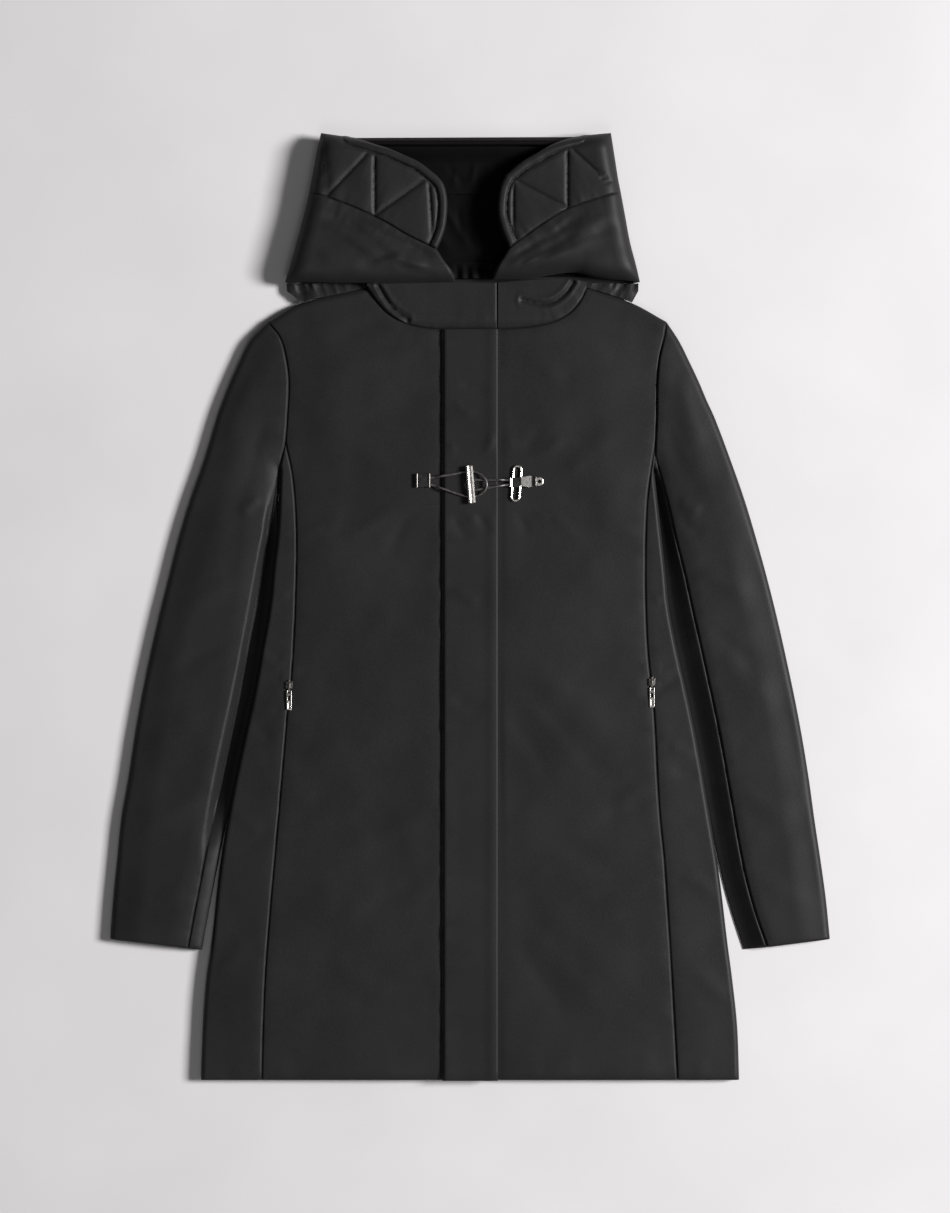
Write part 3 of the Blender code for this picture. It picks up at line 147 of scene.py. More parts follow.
ARMHOLE = edge_rows(
    (286, -203, 197), (270, -190.5, 194.5), (250, -184.5, 190), (225, -181.5, 187.5), (192, -183, 187),
    (165, -185, 186), (138, -190.5, 184.5),
)
SIDE_EDGE = edge_rows(
    (138, -190.5, 184.5), (80, -193, 191), (40, -197.5, 195.5), (0, -201.5, 199.5), (-43, -209, 207.5),
    (-85, -216.5, 217), (-128, -226, 226), (-190, -239, 237), (-262, -251, 249), (-335, -259, 258),
    (-373, -264.5, 263), (-420, -268, 268), (HEM, -270, 270),
)
PRINCESS = edge_rows(
    (165, -185, 186), (135, -178.5, 181), (107, -175.5, 177.5), (75, -174, 176), (45, -174, 175.5),
    (15, -174.8, 175.6), (-15, -175.8, 176.4), (-45, -177.4, 178), (-75, -179.6, 181),
    (-104, -183, 184), (-135, -185.5, 185.8), (-170, -188.5, 187.4), (-210, -192, 190),
    (-255, -196, 194.4), (-300, -200, 197.4), (-345, -203.6, 200.4), (-390, -206.2, 203),
    (-432, -207.6, 205.4), (HEM, -208.5, 207.5),
)
SLEEVE_OUTER = edge_rows(
    (286, -203, 197), (267, -221, 209.5), (247, -231, 219.5), (227, -240, 229), (207, -248, 237.5),
    (187, -255, 246.5), (147, -267, 261.5), (107, -281, 275.5), (67, -293, 287.5), (27, -303, 298.5),
    (-13, -313, 308.5), (-53, -322, 317.5), (-93, -330, 326), (-133, -337, 333.5), (-173, -343, 340),
    (-213, -350, 345.5), (-253, -354, 351.5), (-293, -358, 357), (-333, -361, 361),
)
SLEEVE_INNER = edge_rows(
    (138, -191.2, 185.4), (80, -194, 192), (40, -198.5, 196.5), (0, -202.5, 200.5), (-43, -210, 208.5),
    (-85, -217.5, 218), (-128, -227, 227), (-190, -240, 238), (-262, -253.5, 250.5),
    (-300, -261, 260.5), (-344, -269, 275),
)
SLEEVE_SEAM_INSET = EdgeRow(0, 14.0, 23.0)
NECKLINE = edge_rows(
    (320, -103, 117), (306, -93, 110), (294, -82, 99), (285, -67, 82), (280, -49, 58),
    (278, -PLACKET_HALF, PLACKET_HALF),
)
BAND_TOP = edge_rows(
    (325, -103, 117), (327.5, -90, 104), (328, -75, 88), (327, -55, 62), (325.5, -30, 40),
    (324.3, -PLACKET_HALF / 3, PLACKET_HALF),
)
SHOULDER = edge_rows(
    (286, -203, 197), (305, -168, 162), (320, -103, 117),
)
HOOD_EDGE = edge_rows(
    (474, -149, 141), (461, -152, 143), (445, -155, 145.5), (429, -158, 148), (413.5, -161, 151),
    (392, -166, 155), (365, -173, 160), (342, -179.5, 166), (325, -185, 170),
)


@dataclass(frozen=True)
class FlapLines:
    """The lines of one of the hood's two loose flaps.

    Attributes:
        seam: between the brim and the side panel, from the hood's edge to the free edge.
        top: the brim's top edge, from the hood's corner.
        front: the brim's free edge, down to the seam.
        side_front: the side panel's free edge, down to the hem.
        hem: the hood's lower fold.
        quilt: the zigzag of the quilting.
    """

    seam: Sequence[Point]
    top: Sequence[Point]
    front: Sequence[Point]
    side_front: Sequence[Point]
    hem: Sequence[Point]
    quilt: Sequence[Point]


FLAPS = {
    Side.LEFT: FlapLines(
        seam=points((-161, 413.5), (-142, 408), (-118, 399), (-95.5, 389), (-80, 381), (-66, 372.5),
                    (-50, 364.5), (-33, 356.5)),
        top=points((-149, 474), (-133, 471.5), (-118, 469.5), (-95.5, 461.5), (-80, 456.5),
                   (-66, 450.5), (-50, 443), (-33, 430)),
        front=points((-33, 430), (-26, 421), (-22.5, 405), (-23.5, 383), (-28, 367), (-33, 356.5)),
        side_front=points((-33, 356.5), (-27, 347), (-20, 337), (-15, 324.8)),
        hem=points((-185, 325), (-160, 324.6), (-136, 324), (-106, 323.6), (-86, 323.6), (-66, 324),
                   (-40, 324.6), (-15, 324.8)),
        quilt=points((-146, 460), (-142, 410), (-101, 453), (-95, 455), (-95, 390), (-46, 425),
                     (-41, 427), (-37, 361)),
    ),
    Side.RIGHT: FlapLines(
        seam=points((151, 413.5), (137, 410), (124, 406), (110, 401.5), (96, 396), (82, 388),
                    (68, 379), (39, 358)),
        top=points((141, 474), (125, 472.5), (108, 470.5), (89, 464), (78, 459), (66, 452), (52, 444),
                   (36, 431)),
        front=points((36, 431), (31, 421), (28, 408), (27.5, 392), (31.5, 375), (39, 358)),
        side_front=points((39, 358), (33, 348), (28, 340), (23, 327)),
        hem=points((170, 325), (153, 326.5), (136, 328), (119, 331), (105, 334), (89, 333),
                   (60, 328.5), (23, 327)),
        quilt=points((137, 423), (101, 456), (97, 457), (97, 397), (46, 424), (43, 422), (43, 362)),
    ),
}

# Broad soft folds of the fronts and sleeves.
FOLDS = folds(
    (40, -48, 165, -150, 20, 1.6), (42, -150, 150, -190, 22, 1), (45, -280, 180, -395, 24, 1.7),
    (60, 85, 150, 20, 20, 1), (48, 170, 150, 235, 24, 1.1), (-60, 200, -160, 255, 24, 1),
    (-60, 90, -165, 30, 22, 1), (-60, -120, -170, -160, 24, 0.9), (-70, -330, -190, -270, 24, 1),
    (250, 140, 285, 40, 14, 1.3), (245, -40, 305, -110, 16, 1.2), (-240, 120, -265, 0, 14, 1.1),
    (-265, -90, -320, -160, 16, 1),
)
# Small pleats of the side panels at the waist.
WAIST_PLEATS = folds(
    (-212, -38, -184, -52, 5, -1.6), (-212, -50, -186, -64, 5, 1.4), (214, -70, 184, -82, 5, -1.6),
    (214, -58, 186, -70, 5, 1.4),
)
# Folds of the hood's side panels.
HOOD_FOLDS = folds(
    (-90, 346, -40, 337, 7, 1.2), (-160, 378, -60, 352, 10, 0.9), (60, 335, 136, 378, 9, 1.2),
    (50, 345, 110, 372, 8, -0.9), (30, 333, 84, 366, 6, 1.4), (70, 357, 138, 394, 7, 1.3),
    (46, 351, 120, 394, 5, -1.2), (54, 337, 100, 365, 7, 1.3), (86, 357, 140, 380, 7, 1.2),
    (60, 346, 114, 378, 5, -1.2), (-152, 390, -92, 373, 6, -1.2), (-106, 378, -34, 345, 6, -1.3),
    (-146, 382, -88, 363, 7, 1.2), (-98, 367, -38, 340, 6, 1.3), (-160, 354, -96, 338, 8, 0.9),
)
# Finer creases of the fronts: pulls at the toggle, the neck, the pockets and the hem.
CREASES = folds(
    (-60, 112, -128, 66, 7, 0.8), (-58, 132, -120, 158, 8, 0.6), (-50, 105, -92, 40, 7, -0.6),
    (62, 146, 96, 172, 4, 1), (54, 150, 74, 186, 4, -0.8), (76, 130, 116, 142, 4, 0.9),
    (76, 119, 108, 102, 4, -0.9), (57, 108, 80, 84, 4, 0.9), (46, 104, 58, 68, 4, -0.8),
    (-54, 118, -76, 100, 4, 0.8), (-54, 127, -84, 134, 4, -0.6), (36, 140, 40, 176, 4, 0.7),
    (84, 128, 152, 176, 8, 0.8), (80, 116, 140, 96, 8, -0.7), (76, 106, 118, 54, 7, 0.7),
    (-46, 262, -118, 236, 9, 0.8), (-70, 290, -150, 262, 10, -0.9), (46, 262, 96, 222, 9, 0.7),
    (84, 280, 158, 262, 10, -0.8), (34, -70, 132, -190, 10, 0.8), (34, -100, 96, -196, 8, -0.6),
    (34, -300, 150, -420, 12, 0.9), (40, -330, 110, -430, 9, -0.7), (-34, -30, -110, -14, 10, 0.6),
    (-36, -210, -140, -238, 12, 0.8), (-40, -262, -120, -322, 10, -0.6),
    (182, -176, 140, -204, 8, 0.8), (182, -196, 128, -214, 7, -0.6), (-188, -176, -150, -196, 7, 0.6),
    (176, 66, 120, 92, 8, 0.6), (-172, 66, -124, 92, 8, 0.6), (-60, -396, -150, -352, 12, 0.7),
    (60, -226, 160, -268, 10, -0.6),
)
# Creases of the fly strip, at the fastened toggle and below the stand.
PLACKET_CREASES = folds(
    (-16, 104, 10, 82, 4, 0.9), (-20, 92, 2, 66, 5, -0.7), (12, 148, 24, 176, 4, 0.7),
    (-14, 144, -22, 166, 4, 0.7), (-20, 206, 8, 190, 4, 0.6), (-12, 228, 20, 212, 5, -0.6),
    (6, 98, 22, 72, 4, -0.7), (-22, 20, 12, 2, 6, 0.6), (-18, -86, 14, -110, 7, -0.6),
)
# Creases of the side panels below the waist.
SIDE_CREASES = folds(
    (-226, -96, -190, -106, 5, 0.8), (-222, -118, -194, -132, 6, -0.7),
    (-238, -205, -206, -226, 7, 0.8), (228, -150, 196, -136, 6, 0.8), (234, -172, 200, -160, 6, -0.7),
    (246, -290, 210, -262, 8, 0.8), (-258, -372, -218, -330, 9, 0.8), (258, -400, 216, -352, 9, 0.8),
    (-200, 20, -180, 8, 5, 0.6), (200, 16, 182, 4, 5, 0.6),
)
# Finer creases of the sleeves.
SLEEVE_CREASES = folds(
    (-215, 240, -246, 150, 9, 0.9), (-200, 196, -236, 92, 8, -0.8), (-226, 30, -296, -8, 10, 0.8),
    (-240, -30, -306, -76, 9, -0.8), (-262, -190, -336, -216, 11, 0.8),
    (-280, -280, -346, -300, 10, 0.6), (206, 236, 236, 150, 9, 0.9), (196, 188, 226, 96, 8, -0.8),
    (222, 40, 288, 4, 10, 0.9), (236, -24, 300, -68, 9, -0.8), (262, -180, 330, -214, 11, 0.8),
    (282, -268, 346, -300, 10, 0.6), (208, 110, 232, 92, 6, 1), (206, 92, 236, 70, 6, -0.8),
    (-208, 112, -232, 90, 6, 0.9),
)
# Finer creases of the hood's side panels.
HOOD_CREASES = folds(
    (-100, 343, -62, 349, 4, 1.3), (-84, 348, -36, 338, 4, 1.4), (-78, 338, -30, 330, 4, -1),
    (-128, 366, -84, 350, 5, 0.9), (-150, 398, -96, 376, 6, -0.8), (-120, 386, -70, 358, 4, 0.8),
    (-158, 352, -100, 340, 7, 0.7), (-66, 362, -34, 348, 4, -0.9), (-170, 372, -130, 380, 6, 0.6),
    (46, 336, 84, 356, 4, 1.5), (60, 331, 128, 374, 5, 1.2), (84, 352, 152, 382, 5, -1.1),
    (42, 346, 70, 366, 4, -1), (98, 366, 148, 396, 6, 0.9), (110, 340, 162, 352, 7, 0.7),
    (70, 368, 104, 390, 4, 0.8), (52, 330, 92, 339, 4, -1),
)

# Folds of the lining, which hang from the seam and run to the gathers.
LINING_FOLDS = folds(
    (-60, 405, -12, 350, 5, 1.3), (-30, 410, 2, 352, 4, 1.4), (6, 411, 10, 356, 4, 1.2),
    (34, 408, 16, 352, 4, 1.3), (70, 402, 24, 350, 5, 1.2), (-14, 406, -6, 366, 3, -0.8),
    (22, 408, 14, 360, 3, -0.8),
)
# Creases of the facing, which run from the quilting.
FACING_FOLDS = folds(
    (-24, 446, -4, 418, 3, -0.8), (4, 447, 2, 420, 3, 0.9), (30, 446, 12, 418, 3, -0.8),
    (16, 444, 24, 420, 3, 0.7), (-12, 440, -18, 418, 3, 0.7),
)
HOOD_BASE_X = {Side.LEFT: (-184.0, -104.0, -168.5), Side.RIGHT: (169.0, 114.0, 162.5)}  # outer, inner, low
HARDWARE_RESTS = (Rest(10, 123, 66, 22), Rest(-181, -89, 6, 20), Rest(182, -86, 6, 20))
SLIDER_PLACES = points((-181, -84), (182, -81))
SEAM_STEPS = (0.3, 0.8, 1.4, 2.1, 3.1, 4.6, 6.8)
ROUND_STEPS = (0.15, 0.6, 1.3, 2.4, 3.8, 5.4, 7.2)
HOOD_STEPS = (0.3, 1.2, 2.6, 4.6, 7.2, 10.4, 14.0, 18.0)
LIGHTS = (Light("key", (4.6, 0.5, 3.5), 1.5, 730.0), Light("fill", (0.3, -2.9, 5.2), 2.0, 42.0))


# ---------------------------------------------------------------- lines

def line_of(rows: Sequence[EdgeRow], side: Side) -> Line:
    """One side of a table as a line in the plan."""
    return np.array([(getattr(row, side.value), row.y) for row in rows], float)


def points_of(points: Sequence[Point]) -> Line:
    """Points as a line in the plan."""
    return np.array([(p.x, p.y) for p in points], float)


def along(line: Line) -> np.ndarray:
    """Distance of each of a line's points from its start."""
    return np.concatenate([[0.0], np.cumsum(np.linalg.norm(np.diff(line, axis=0), axis=1))])


def at_distance(line: Line, distances: np.ndarray) -> Line:
    """The line's points at these distances from its start."""
    places = along(line)
    return np.stack([np.interp(distances, places, line[:, k]) for k in range(line.shape[1])], axis=1)


def smooth(line: Line, parts: int = 8) -> Line:
    """A smooth curve through the line's points.

    Args:
        line: the points, two or more.
        parts: steps between each two of them.

    Returns:
        The curve's points.
    """
    ends = np.vstack([2 * line[0] - line[1], line, 2 * line[-1] - line[-2]])
    share = np.linspace(0, 1, parts, endpoint=False)[:, None]
    pieces = []
    for a, b, c, d in zip(ends[:-3], ends[1:-2], ends[2:-1], ends[3:]):
        pieces.append(0.5 * (2 * b + (c - a) * share + (2 * a - 5 * b + 4 * c - d) * share ** 2
                             + (3 * b - a - 3 * c + d) * share ** 3))
    return np.vstack(pieces + [line[-1:]])


def join(*lines: Line) -> Line:
    """Lines laid end to end, their shared points taken once."""
    return np.vstack([lines[0]] + [line[1:] for line in lines[1:]])


def straight(start: Place, end: Place) -> Line:
    """A straight line."""
    return np.array([start, end], float)


def nearest_on(line: Line, x: np.ndarray, y: np.ndarray) -> tuple[np.ndarray, np.ndarray, np.ndarray]:
    """Where a line lies from some points.

    Args:
        line: the line.
        x: the points' x.
        y: the points' y.

    Returns:
        The distance from the line, the direction away from it, and how far along it the nearest point is.
    """
    shape = np.shape(x)
    best = np.full(shape, 1e9)
    offset = np.zeros(shape + (2,))
    square = np.zeros(shape + (2,))
    place = np.zeros(shape)
    starts = along(line)
    for a, b, start in zip(line[:-1], line[1:], starts):
        run = b - a
        length = float(np.linalg.norm(run))
        share = np.clip(((x - a[0]) * run[0] + (y - a[1]) * run[1]) / length ** 2, 0, 1)
        off = np.stack([x - a[0] - share * run[0], y - a[1] - share * run[1]], axis=-1)
        distance = np.linalg.norm(off, axis=-1)
        closer = distance < best
        best = np.where(closer, distance, best)
        offset = np.where(closer[..., None], off, offset)
        square = np.where(closer[..., None], np.array([-run[1], run[0]]) / length, square)
        place = np.where(closer, start + share * length, place)
    onto = 1.0 if np.sum(offset * square) > 0 else -1.0
    away = np.where(best[..., None] > SEAM, offset / np.maximum(best, 1e-9)[..., None], square * onto)
    return best, away, place


def smooth_step(value: np.ndarray) -> np.ndarray:
    """0 below 0, 1 above 1, and a soft rise between."""
    t = np.clip(value, 0, 1)
    return t * t * (3 - 2 * t)


def noise(x: np.ndarray, y: np.ndarray, spacing: float, seed: int) -> np.ndarray:
    """Smooth noise from -1 to 1 in the plan.

    Args:
        x: the points' x.
        y: the points' y.
        spacing: distance between its humps.
        seed: which noise it is.

    Returns:
        The noise at each point.
    """
    table = np.random.default_rng(seed).uniform(-1, 1, (64, 64))
    u, v = x / spacing + 1000, y / spacing + 1000
    i, j = np.floor(u).astype(int), np.floor(v).astype(int)
    s, t = smooth_step(u - i), smooth_step(v - j)
    corner = [[table[(i + a) % 64, (j + b) % 64] for b in (0, 1)] for a in (0, 1)]
    low = corner[0][0] * (1 - s) + corner[1][0] * s
    high = corner[0][1] * (1 - s) + corner[1][1] * s
    return low * (1 - t) + high * t


def stations(length: float, near: Sequence[float], far: Sequence[float], step: float) -> np.ndarray:
    """Distances along a side, close together at its ends.

    Args:
        length: of the side.
        near: distances from its start.
        far: distances from its end.
        step: spacing between.

    Returns:
        The distances, from 0 to the length.
    """
    near = [d for d in near if d < 0.45 * length]
    far = [d for d in far if d < 0.45 * length]
    start, end = (near[-1] if near else 0.0), length - (far[-1] if far else 0.0)
    middle = np.linspace(start, end, max(2, round((end - start) / step)) + 1)
    return np.concatenate([[0.0] if near else [], near[:-1], middle,
                           [length - d for d in reversed(far[:-1])], [length] if far else []])


# ---------------------------------------------------------------- relief

def fold_relief(x: np.ndarray, y: np.ndarray, folds: Sequence[Fold], bend: float = 0.0) -> np.ndarray:
    """Soft ridges or troughs along the folds, fading towards their ends.

    Args:
        x: the points' x.
        y: the points' y.
        folds: the folds.
        bend: how far they wander from straight.

    Returns:
        The height at each point.
    """
    height = np.zeros(np.shape(x))
    for fold in folds:
        run = np.array([fold.x1 - fold.x0, fold.y1 - fold.y0])
        length = float(np.linalg.norm(run))
        place = ((x - fold.x0) * run[0] + (y - fold.y0) * run[1]) / length
        off = ((x - fold.x0) * -run[1] + (y - fold.y0) * run[0]) / length
        off = off + bend * fold.width * np.sin(place / length * math.pi * 1.4 + fold.x0)
        ends = smooth_step(place / (0.35 * length)) * smooth_step((length - place) / (0.35 * length))
        width = fold.width * (0.75 + 0.5 * np.clip(place / length, 0, 1))
        height += fold.height * np.exp(-(off / width) ** 2) * ends
    return height


def groove(x: np.ndarray, y: np.ndarray, line: Line, depth: float, width: float) -> np.ndarray:
    """A stitched line sunk into the wadding."""
    distance, _, _ = nearest_on(line, x, y)
    return -depth * np.exp(-(distance / width) ** 2)


def seam_relief(x: np.ndarray, y: np.ndarray, line: Line, seed: int, pucker: float = 0.45) -> np.ndarray:
    """The dip at a seam, with the small puckers that its stitching draws up.

    Args:
        x: the points' x.
        y: the points' y.
        line: the seam.
        seed: of the puckers.
        pucker: how high they are.

    Returns:
        The height at each point.
    """
    distance, _, place = nearest_on(line, x, y)
    dip = (-SEAM_DIP * np.exp(-(distance / SEAM_DIP_WIDTH) ** 2)
           - SEAM_HOLLOW * np.exp(-(distance / SEAM_HOLLOW_WIDTH) ** 2))
    drawn = noise(place, distance * 0.25, 9.0, seed) + 0.6 * noise(place, distance * 0.3, 4.6, seed + 1)
    reach = 6.0 + 5.0 * (noise(place, np.zeros(np.shape(x)), 31.0, seed + 2) + 0.6)
    return dip + pucker * drawn * np.exp(-distance / np.maximum(reach, 2.5)) * (1 - np.exp(-distance / 1.2))


def body_crown(x: np.ndarray, y: np.ndarray) -> np.ndarray:
    """The lift and the broad folds of the fronts, as their solids have them.

    Args:
        x: the points' x.
        y: the points' y.

    Returns:
        The height at each point.
    """
    rows = list(reversed(SIDE_EDGE))
    half = np.interp(y, [row.y for row in rows], [row.right for row in rows])
    across = smooth_step((half - np.abs(x)) / 60)
    down = (0.55 + 0.45 * smooth_step((y - HEM) / 9)) * smooth_step((312 - y) / 40)
    clear_of_placket = smooth_step((np.abs(x) - 30) / 22)
    folds = fold_relief(x, y, FOLDS) * clear_of_placket + fold_relief(x, y, WAIST_PLEATS)
    return (CROWN + folds) * (0.35 + 0.65 * across) * down


def calm(x: np.ndarray, y: np.ndarray) -> np.ndarray:
    """How free the cloth is of the hardware, which holds it flat.

    Args:
        x: the points' x.
        y: the points' y.

    Returns:
        0 under the hardware and 1 away from it.
    """
    near = np.full(np.shape(x), np.inf)
    for rest in HARDWARE_RESTS:
        off = np.maximum(np.abs(x - rest.x) / rest.half_width, np.abs(y - rest.y) / rest.half_height)
        near = np.minimum(near, off)
    return smooth_step((near - 1.0) / 0.8)


def pressed(x: np.ndarray, y: np.ndarray) -> np.ndarray:
    """How far the sliders press the cloth in, which leaves room for the tabs to turn.

    Args:
        x: the points' x.
        y: the points' y.

    Returns:
        The depth at each point.
    """
    deep = np.zeros(np.shape(x))
    for spot in SLIDER_PLACES:
        deep += PRESS_DEPTH * np.exp(-((x - spot.x) / PRESS_WIDTH) ** 4 - ((y - spot.y) / PRESS_HEIGHT) ** 4)
    return deep


def wander(x: np.ndarray, y: np.ndarray, seed: int) -> np.ndarray:
    """The slight unevenness of padded cloth that has been laid out by hand."""
    return (0.55 * noise(x + 0.5 * y, y, 64.0, seed) + 0.28 * noise(x, y - 0.4 * x, 29.0, seed + 1)
            + 0.10 * noise(x, y, 12.0, seed + 2))


# ---------------------------------------------------------------- walls

def coons(sides: Sides, steps: tuple[np.ndarray, np.ndarray]) -> np.ndarray:
    """A grid between four sides, rows from bottom to top and columns from left to right.

    Args:
        sides: the four sides. Left and right run upwards, bottom and top to the right.
        steps: shares of the way across and of the way up, from 0 to 1.

    Returns:
        An array of rows, columns and x, y.
    """
    across, up = steps
    bottom, top = (at_distance(side, across * along(side)[-1]) for side in (sides.bottom, sides.top))
    left, right = (at_distance(side, up * along(side)[-1]) for side in (sides.left, sides.right))
    u, v = across[None, :, None], up[:, None, None]
    corners = ((1 - u) * (1 - v) * left[0] + u * (1 - v) * right[0]
               + (1 - u) * v * left[-1] + u * v * right[-1])
    return (1 - u) * left[:, None] + u * right[:, None] + (1 - v) * bottom[None] + v * top[None] - corners


def round_share(x: np.ndarray, y: np.ndarray, edges: Sequence[RoundEdge]) -> tuple[np.ndarray, np.ndarray]:
    """How the cloth turns down at its round edges.

    Args:
        x: the points' x.
        y: the points' y.
        edges: the round edges.

    Returns:
        How high it stands, 0 to 1, and which way its inner face moves.
    """
    share = np.ones(np.shape(x))
    shift = np.zeros(np.shape(x) + (2,))
    for edge in edges:
        distance, away, _ = nearest_on(edge.line, x, y)
        cosine = np.clip(1 - distance / edge.width, 0, 1)
        share = share * np.sqrt(np.maximum(0.0, 1 - cosine ** 2))
        shift += cosine[..., None] * away
    return share, shift


def add_object(name: str, data: bpy.types.ID) -> bpy.types.Object:
    """A new object in the scene.

    Args:
        name: of the object.
        data: its mesh, camera or lamp.

    Returns:
        The object.
    """
    piece = bpy.data.objects.new(name, data)
    bpy.context.scene.collection.objects.link(piece)
    return piece


def closed_mesh(name: str, points: np.ndarray, faces: list, sharp: float | None) -> bpy.types.Object:
    """A closed, smooth object that faces outwards.

    Args:
        name: of the object.
        points: its points in millimetres.
        faces: the points round each face.
        sharp: degrees above which an edge stays sharp, or None where none does.

    Returns:
        The object.
    """
    mesh = bpy.data.meshes.new(name)
    mesh.from_pydata((np.asarray(points) * MM).tolist(), [], faces)
    work = bmesh.new()
    work.from_mesh(mesh)
    bmesh.ops.recalc_face_normals(work, faces=work.faces)
    if work.calc_volume(signed=True) < 0:
        bmesh.ops.reverse_faces(work, faces=work.faces)
    work.to_mesh(mesh)
    work.free()
    mesh.shade_smooth()
    if sharp is not None:
        mesh.set_sharp_from_angle(angle=math.radians(sharp))
    return add_object(name, mesh)


def cloth_mesh(name: str, outer: np.ndarray, inner: np.ndarray) -> bpy.types.Object:
    """A closed wall between two grids of points in millimetres.

    Args:
        name: of the object.
        outer: the face that shows.
        inner: the face behind it.

    Returns:
        The new object, smooth and facing outwards.
    """
    rows, columns = outer.shape[:2]
    points = np.vstack([outer.reshape(-1, 3), inner.reshape(-1, 3)])
    index = np.arange(rows * columns).reshape(rows, columns)
    a, b, c, d = index[:-1, :-1], index[:-1, 1:], index[1:, 1:], index[1:, :-1]
    front = np.stack([a, b, c, d], axis=-1).reshape(-1, 4)
    back = np.stack([a, d, c, b], axis=-1).reshape(-1, 4) + rows * columns
    ring = np.concatenate([index[0], index[1:, -1], index[-1, -2::-1], index[-2:0:-1, 0]])
    following = np.roll(ring, -1)
    rim = np.stack([ring, ring + rows * columns, following + rows * columns, following], axis=-1)
    return closed_mesh(name, points, np.vstack([front, back, rim]).tolist(), SHARP_CLOTH)


def plan_area(sides: Sides) -> float:
    """The flat area inside four sides.

    Args:
        sides: the sides, in millimetres.

    Returns:
        The area, in square metres.
    """
    outline = np.vstack([sides.bottom, sides.right, sides.top[::-1], sides.left[::-1]])
    x, y = outline[:, 0], outline[:, 1]
    return abs(float(np.sum(x * np.roll(y, -1) - y * np.roll(x, -1)))) / 2 * MM * MM


@dataclass
class Panel:
    """One piece of the coat's cloth, a padded wall over its place in the plan.

    Attributes:
        node: the solid that it stands for.
        sides: its four sides in the plan.
        layer: the layer it lies in.
        rounds: edges where it rolls over to the other layer.
        free: edges where the cloth ends in a soft roll of its own.
        seams: lines that its inner face stays behind.
        relief: height added to its outer face.
        lift: height added to both faces where the layer is full.
        radius: half the height of the two layers.
        wall: its thickness.
        step: grid spacing.
        steps: grid distances at the left, right, bottom and top sides.
        up: shares of the way up, where another panel's rows have to match.
        form: a last change to the height of its points.
    """

    node: str
    sides: Sides
    layer: Layer
    rounds: Sequence[RoundEdge] = ()
    free: Sequence[Line] = ()
    seams: Sequence[Line] = ()
    relief: Relief | None = None
    lift: Relief | None = None
    radius: float = EDGE_RADIUS
    wall: float = CLOTH
    step: float = STEP
    steps: tuple = (SEAM_STEPS, SEAM_STEPS, SEAM_STEPS, SEAM_STEPS)
    up: np.ndarray | None = None
    form: Callable[[np.ndarray], np.ndarray] | None = None

    def plan(self) -> np.ndarray:
        """The plan grid, its outermost points drawn in by half a seam."""
        shares = []
        for pair, near, far in (((2, 3), 0, 1), ((0, 1), 2, 3)):
            length = sum(along(self.sides[k])[-1] for k in pair) / 2
            shares.append(stations(length, self.steps[near], self.steps[far], self.step) / length)
        grid = coons(self.sides, (shares[0], shares[1] if self.up is None else self.up))
        middle = grid.reshape(-1, 2).mean(axis=0)
        size = np.ptp(grid.reshape(-1, 2), axis=0)
        return middle + (grid - middle) * (1 - SEAM / size)

    def points(self) -> tuple[np.ndarray, np.ndarray]:
        """The outer and the inner grid."""
        plan = self.plan()
        x, y = plan[..., 0], plan[..., 1]
        share, shift = round_share(x, y, self.rounds)
        for line in self.seams:
            distance, away, _ = nearest_on(line, x, y)
            across = np.minimum(np.sum(shift * away, axis=-1), 0.0) * (1 - smooth_step(distance / 8))
            shift = shift - across[..., None] * away
        lift = self.lift(x, y) if self.lift else 0.0
        sign, clear = self.layer.value, SEAM / 2
        high = self.radius + sign * (clear + (self.radius - clear + lift) * share)
        low = self.radius + sign * (clear + (self.radius - self.wall - clear + lift) * share)
        if self.relief:
            high = high + self.relief(x, y) * share
        for line in self.free:
            distance, _, _ = nearest_on(line, x, y)
            reach = self.wall / 2
            drop = 1 - np.sqrt(np.maximum(0.0, 1 - np.clip(1 - distance / reach, 0, 1) ** 2))
            middle = (high + low) / 2
            high = high - drop * (high - middle) * 0.92
            low = low + drop * (middle - low) * 0.92
        return np.dstack([plan, high]), np.dstack([plan + self.wall * shift, low])

    def build(self, material: bpy.types.Material, slot: str) -> bpy.types.Object:
        """Makes the piece, dresses it and puts it in its node's place.

        Args:
            material: of the cloth.
            slot: not used.

        Returns:
            The piece.
        """
        outer, inner = self.points()
        if self.form:
            outer, inner = self.form(outer), self.form(inner)
        piece = cloth_mesh(self.node + "_cloth", outer, inner)
        dress(piece, self.node, material)
        declare_sheet(self.sides, plan_area(self.sides))
        return piece


def dress(piece: bpy.types.Object, node: str, material: bpy.types.Material) -> None:
    """Gives a piece its material and body, and hides the solid whose place it takes.

    Args:
        piece: the piece.
        node: the solid's node.
        material: of the piece.
    """
    piece.data.materials.clear()
    piece.data.materials.append(material)
    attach(piece, "root")
    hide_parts(node)
    LOG.info("%s: %d faces", piece.name, len(piece.data.polygons))


def declare_sheet(lines: Sequence[Line], area: float, fullness: float = 1.0) -> None:
    """Works out how the piece's cloth was cut: its width, its length and its own area, which nothing then
    uses.

    Args:
        lines: the edges of the place where it lies.
        area: of its cloth, in square metres.
        fullness: how much wider than its place the cloth is, where it is gathered.
    """
    width, length = (float(v) * MM for v in np.ptp(np.vstack(lines), axis=0))
    width *= fullness
    area = min(max(area, 0.31 * width * length), width * length)


# ---------------------------------------------------------------- finishes

def linear(colour: str) -> tuple[float, float, float, float]:
    """Turns an sRGB colour into a shader's colour.

    Args:
        colour: red, green and blue in hexadecimal, after a hash sign.

    Returns:
        The linear colour, fully opaque.
    """
    parts = [int(colour[i:i + 2], 16) / 255 for i in (1, 3, 5)]
    red, green, blue = (p / 12.92 if p <= 0.04045 else ((p + 0.055) / 1.055) ** 2.4 for p in parts)
    return red, green, blue, 1.0


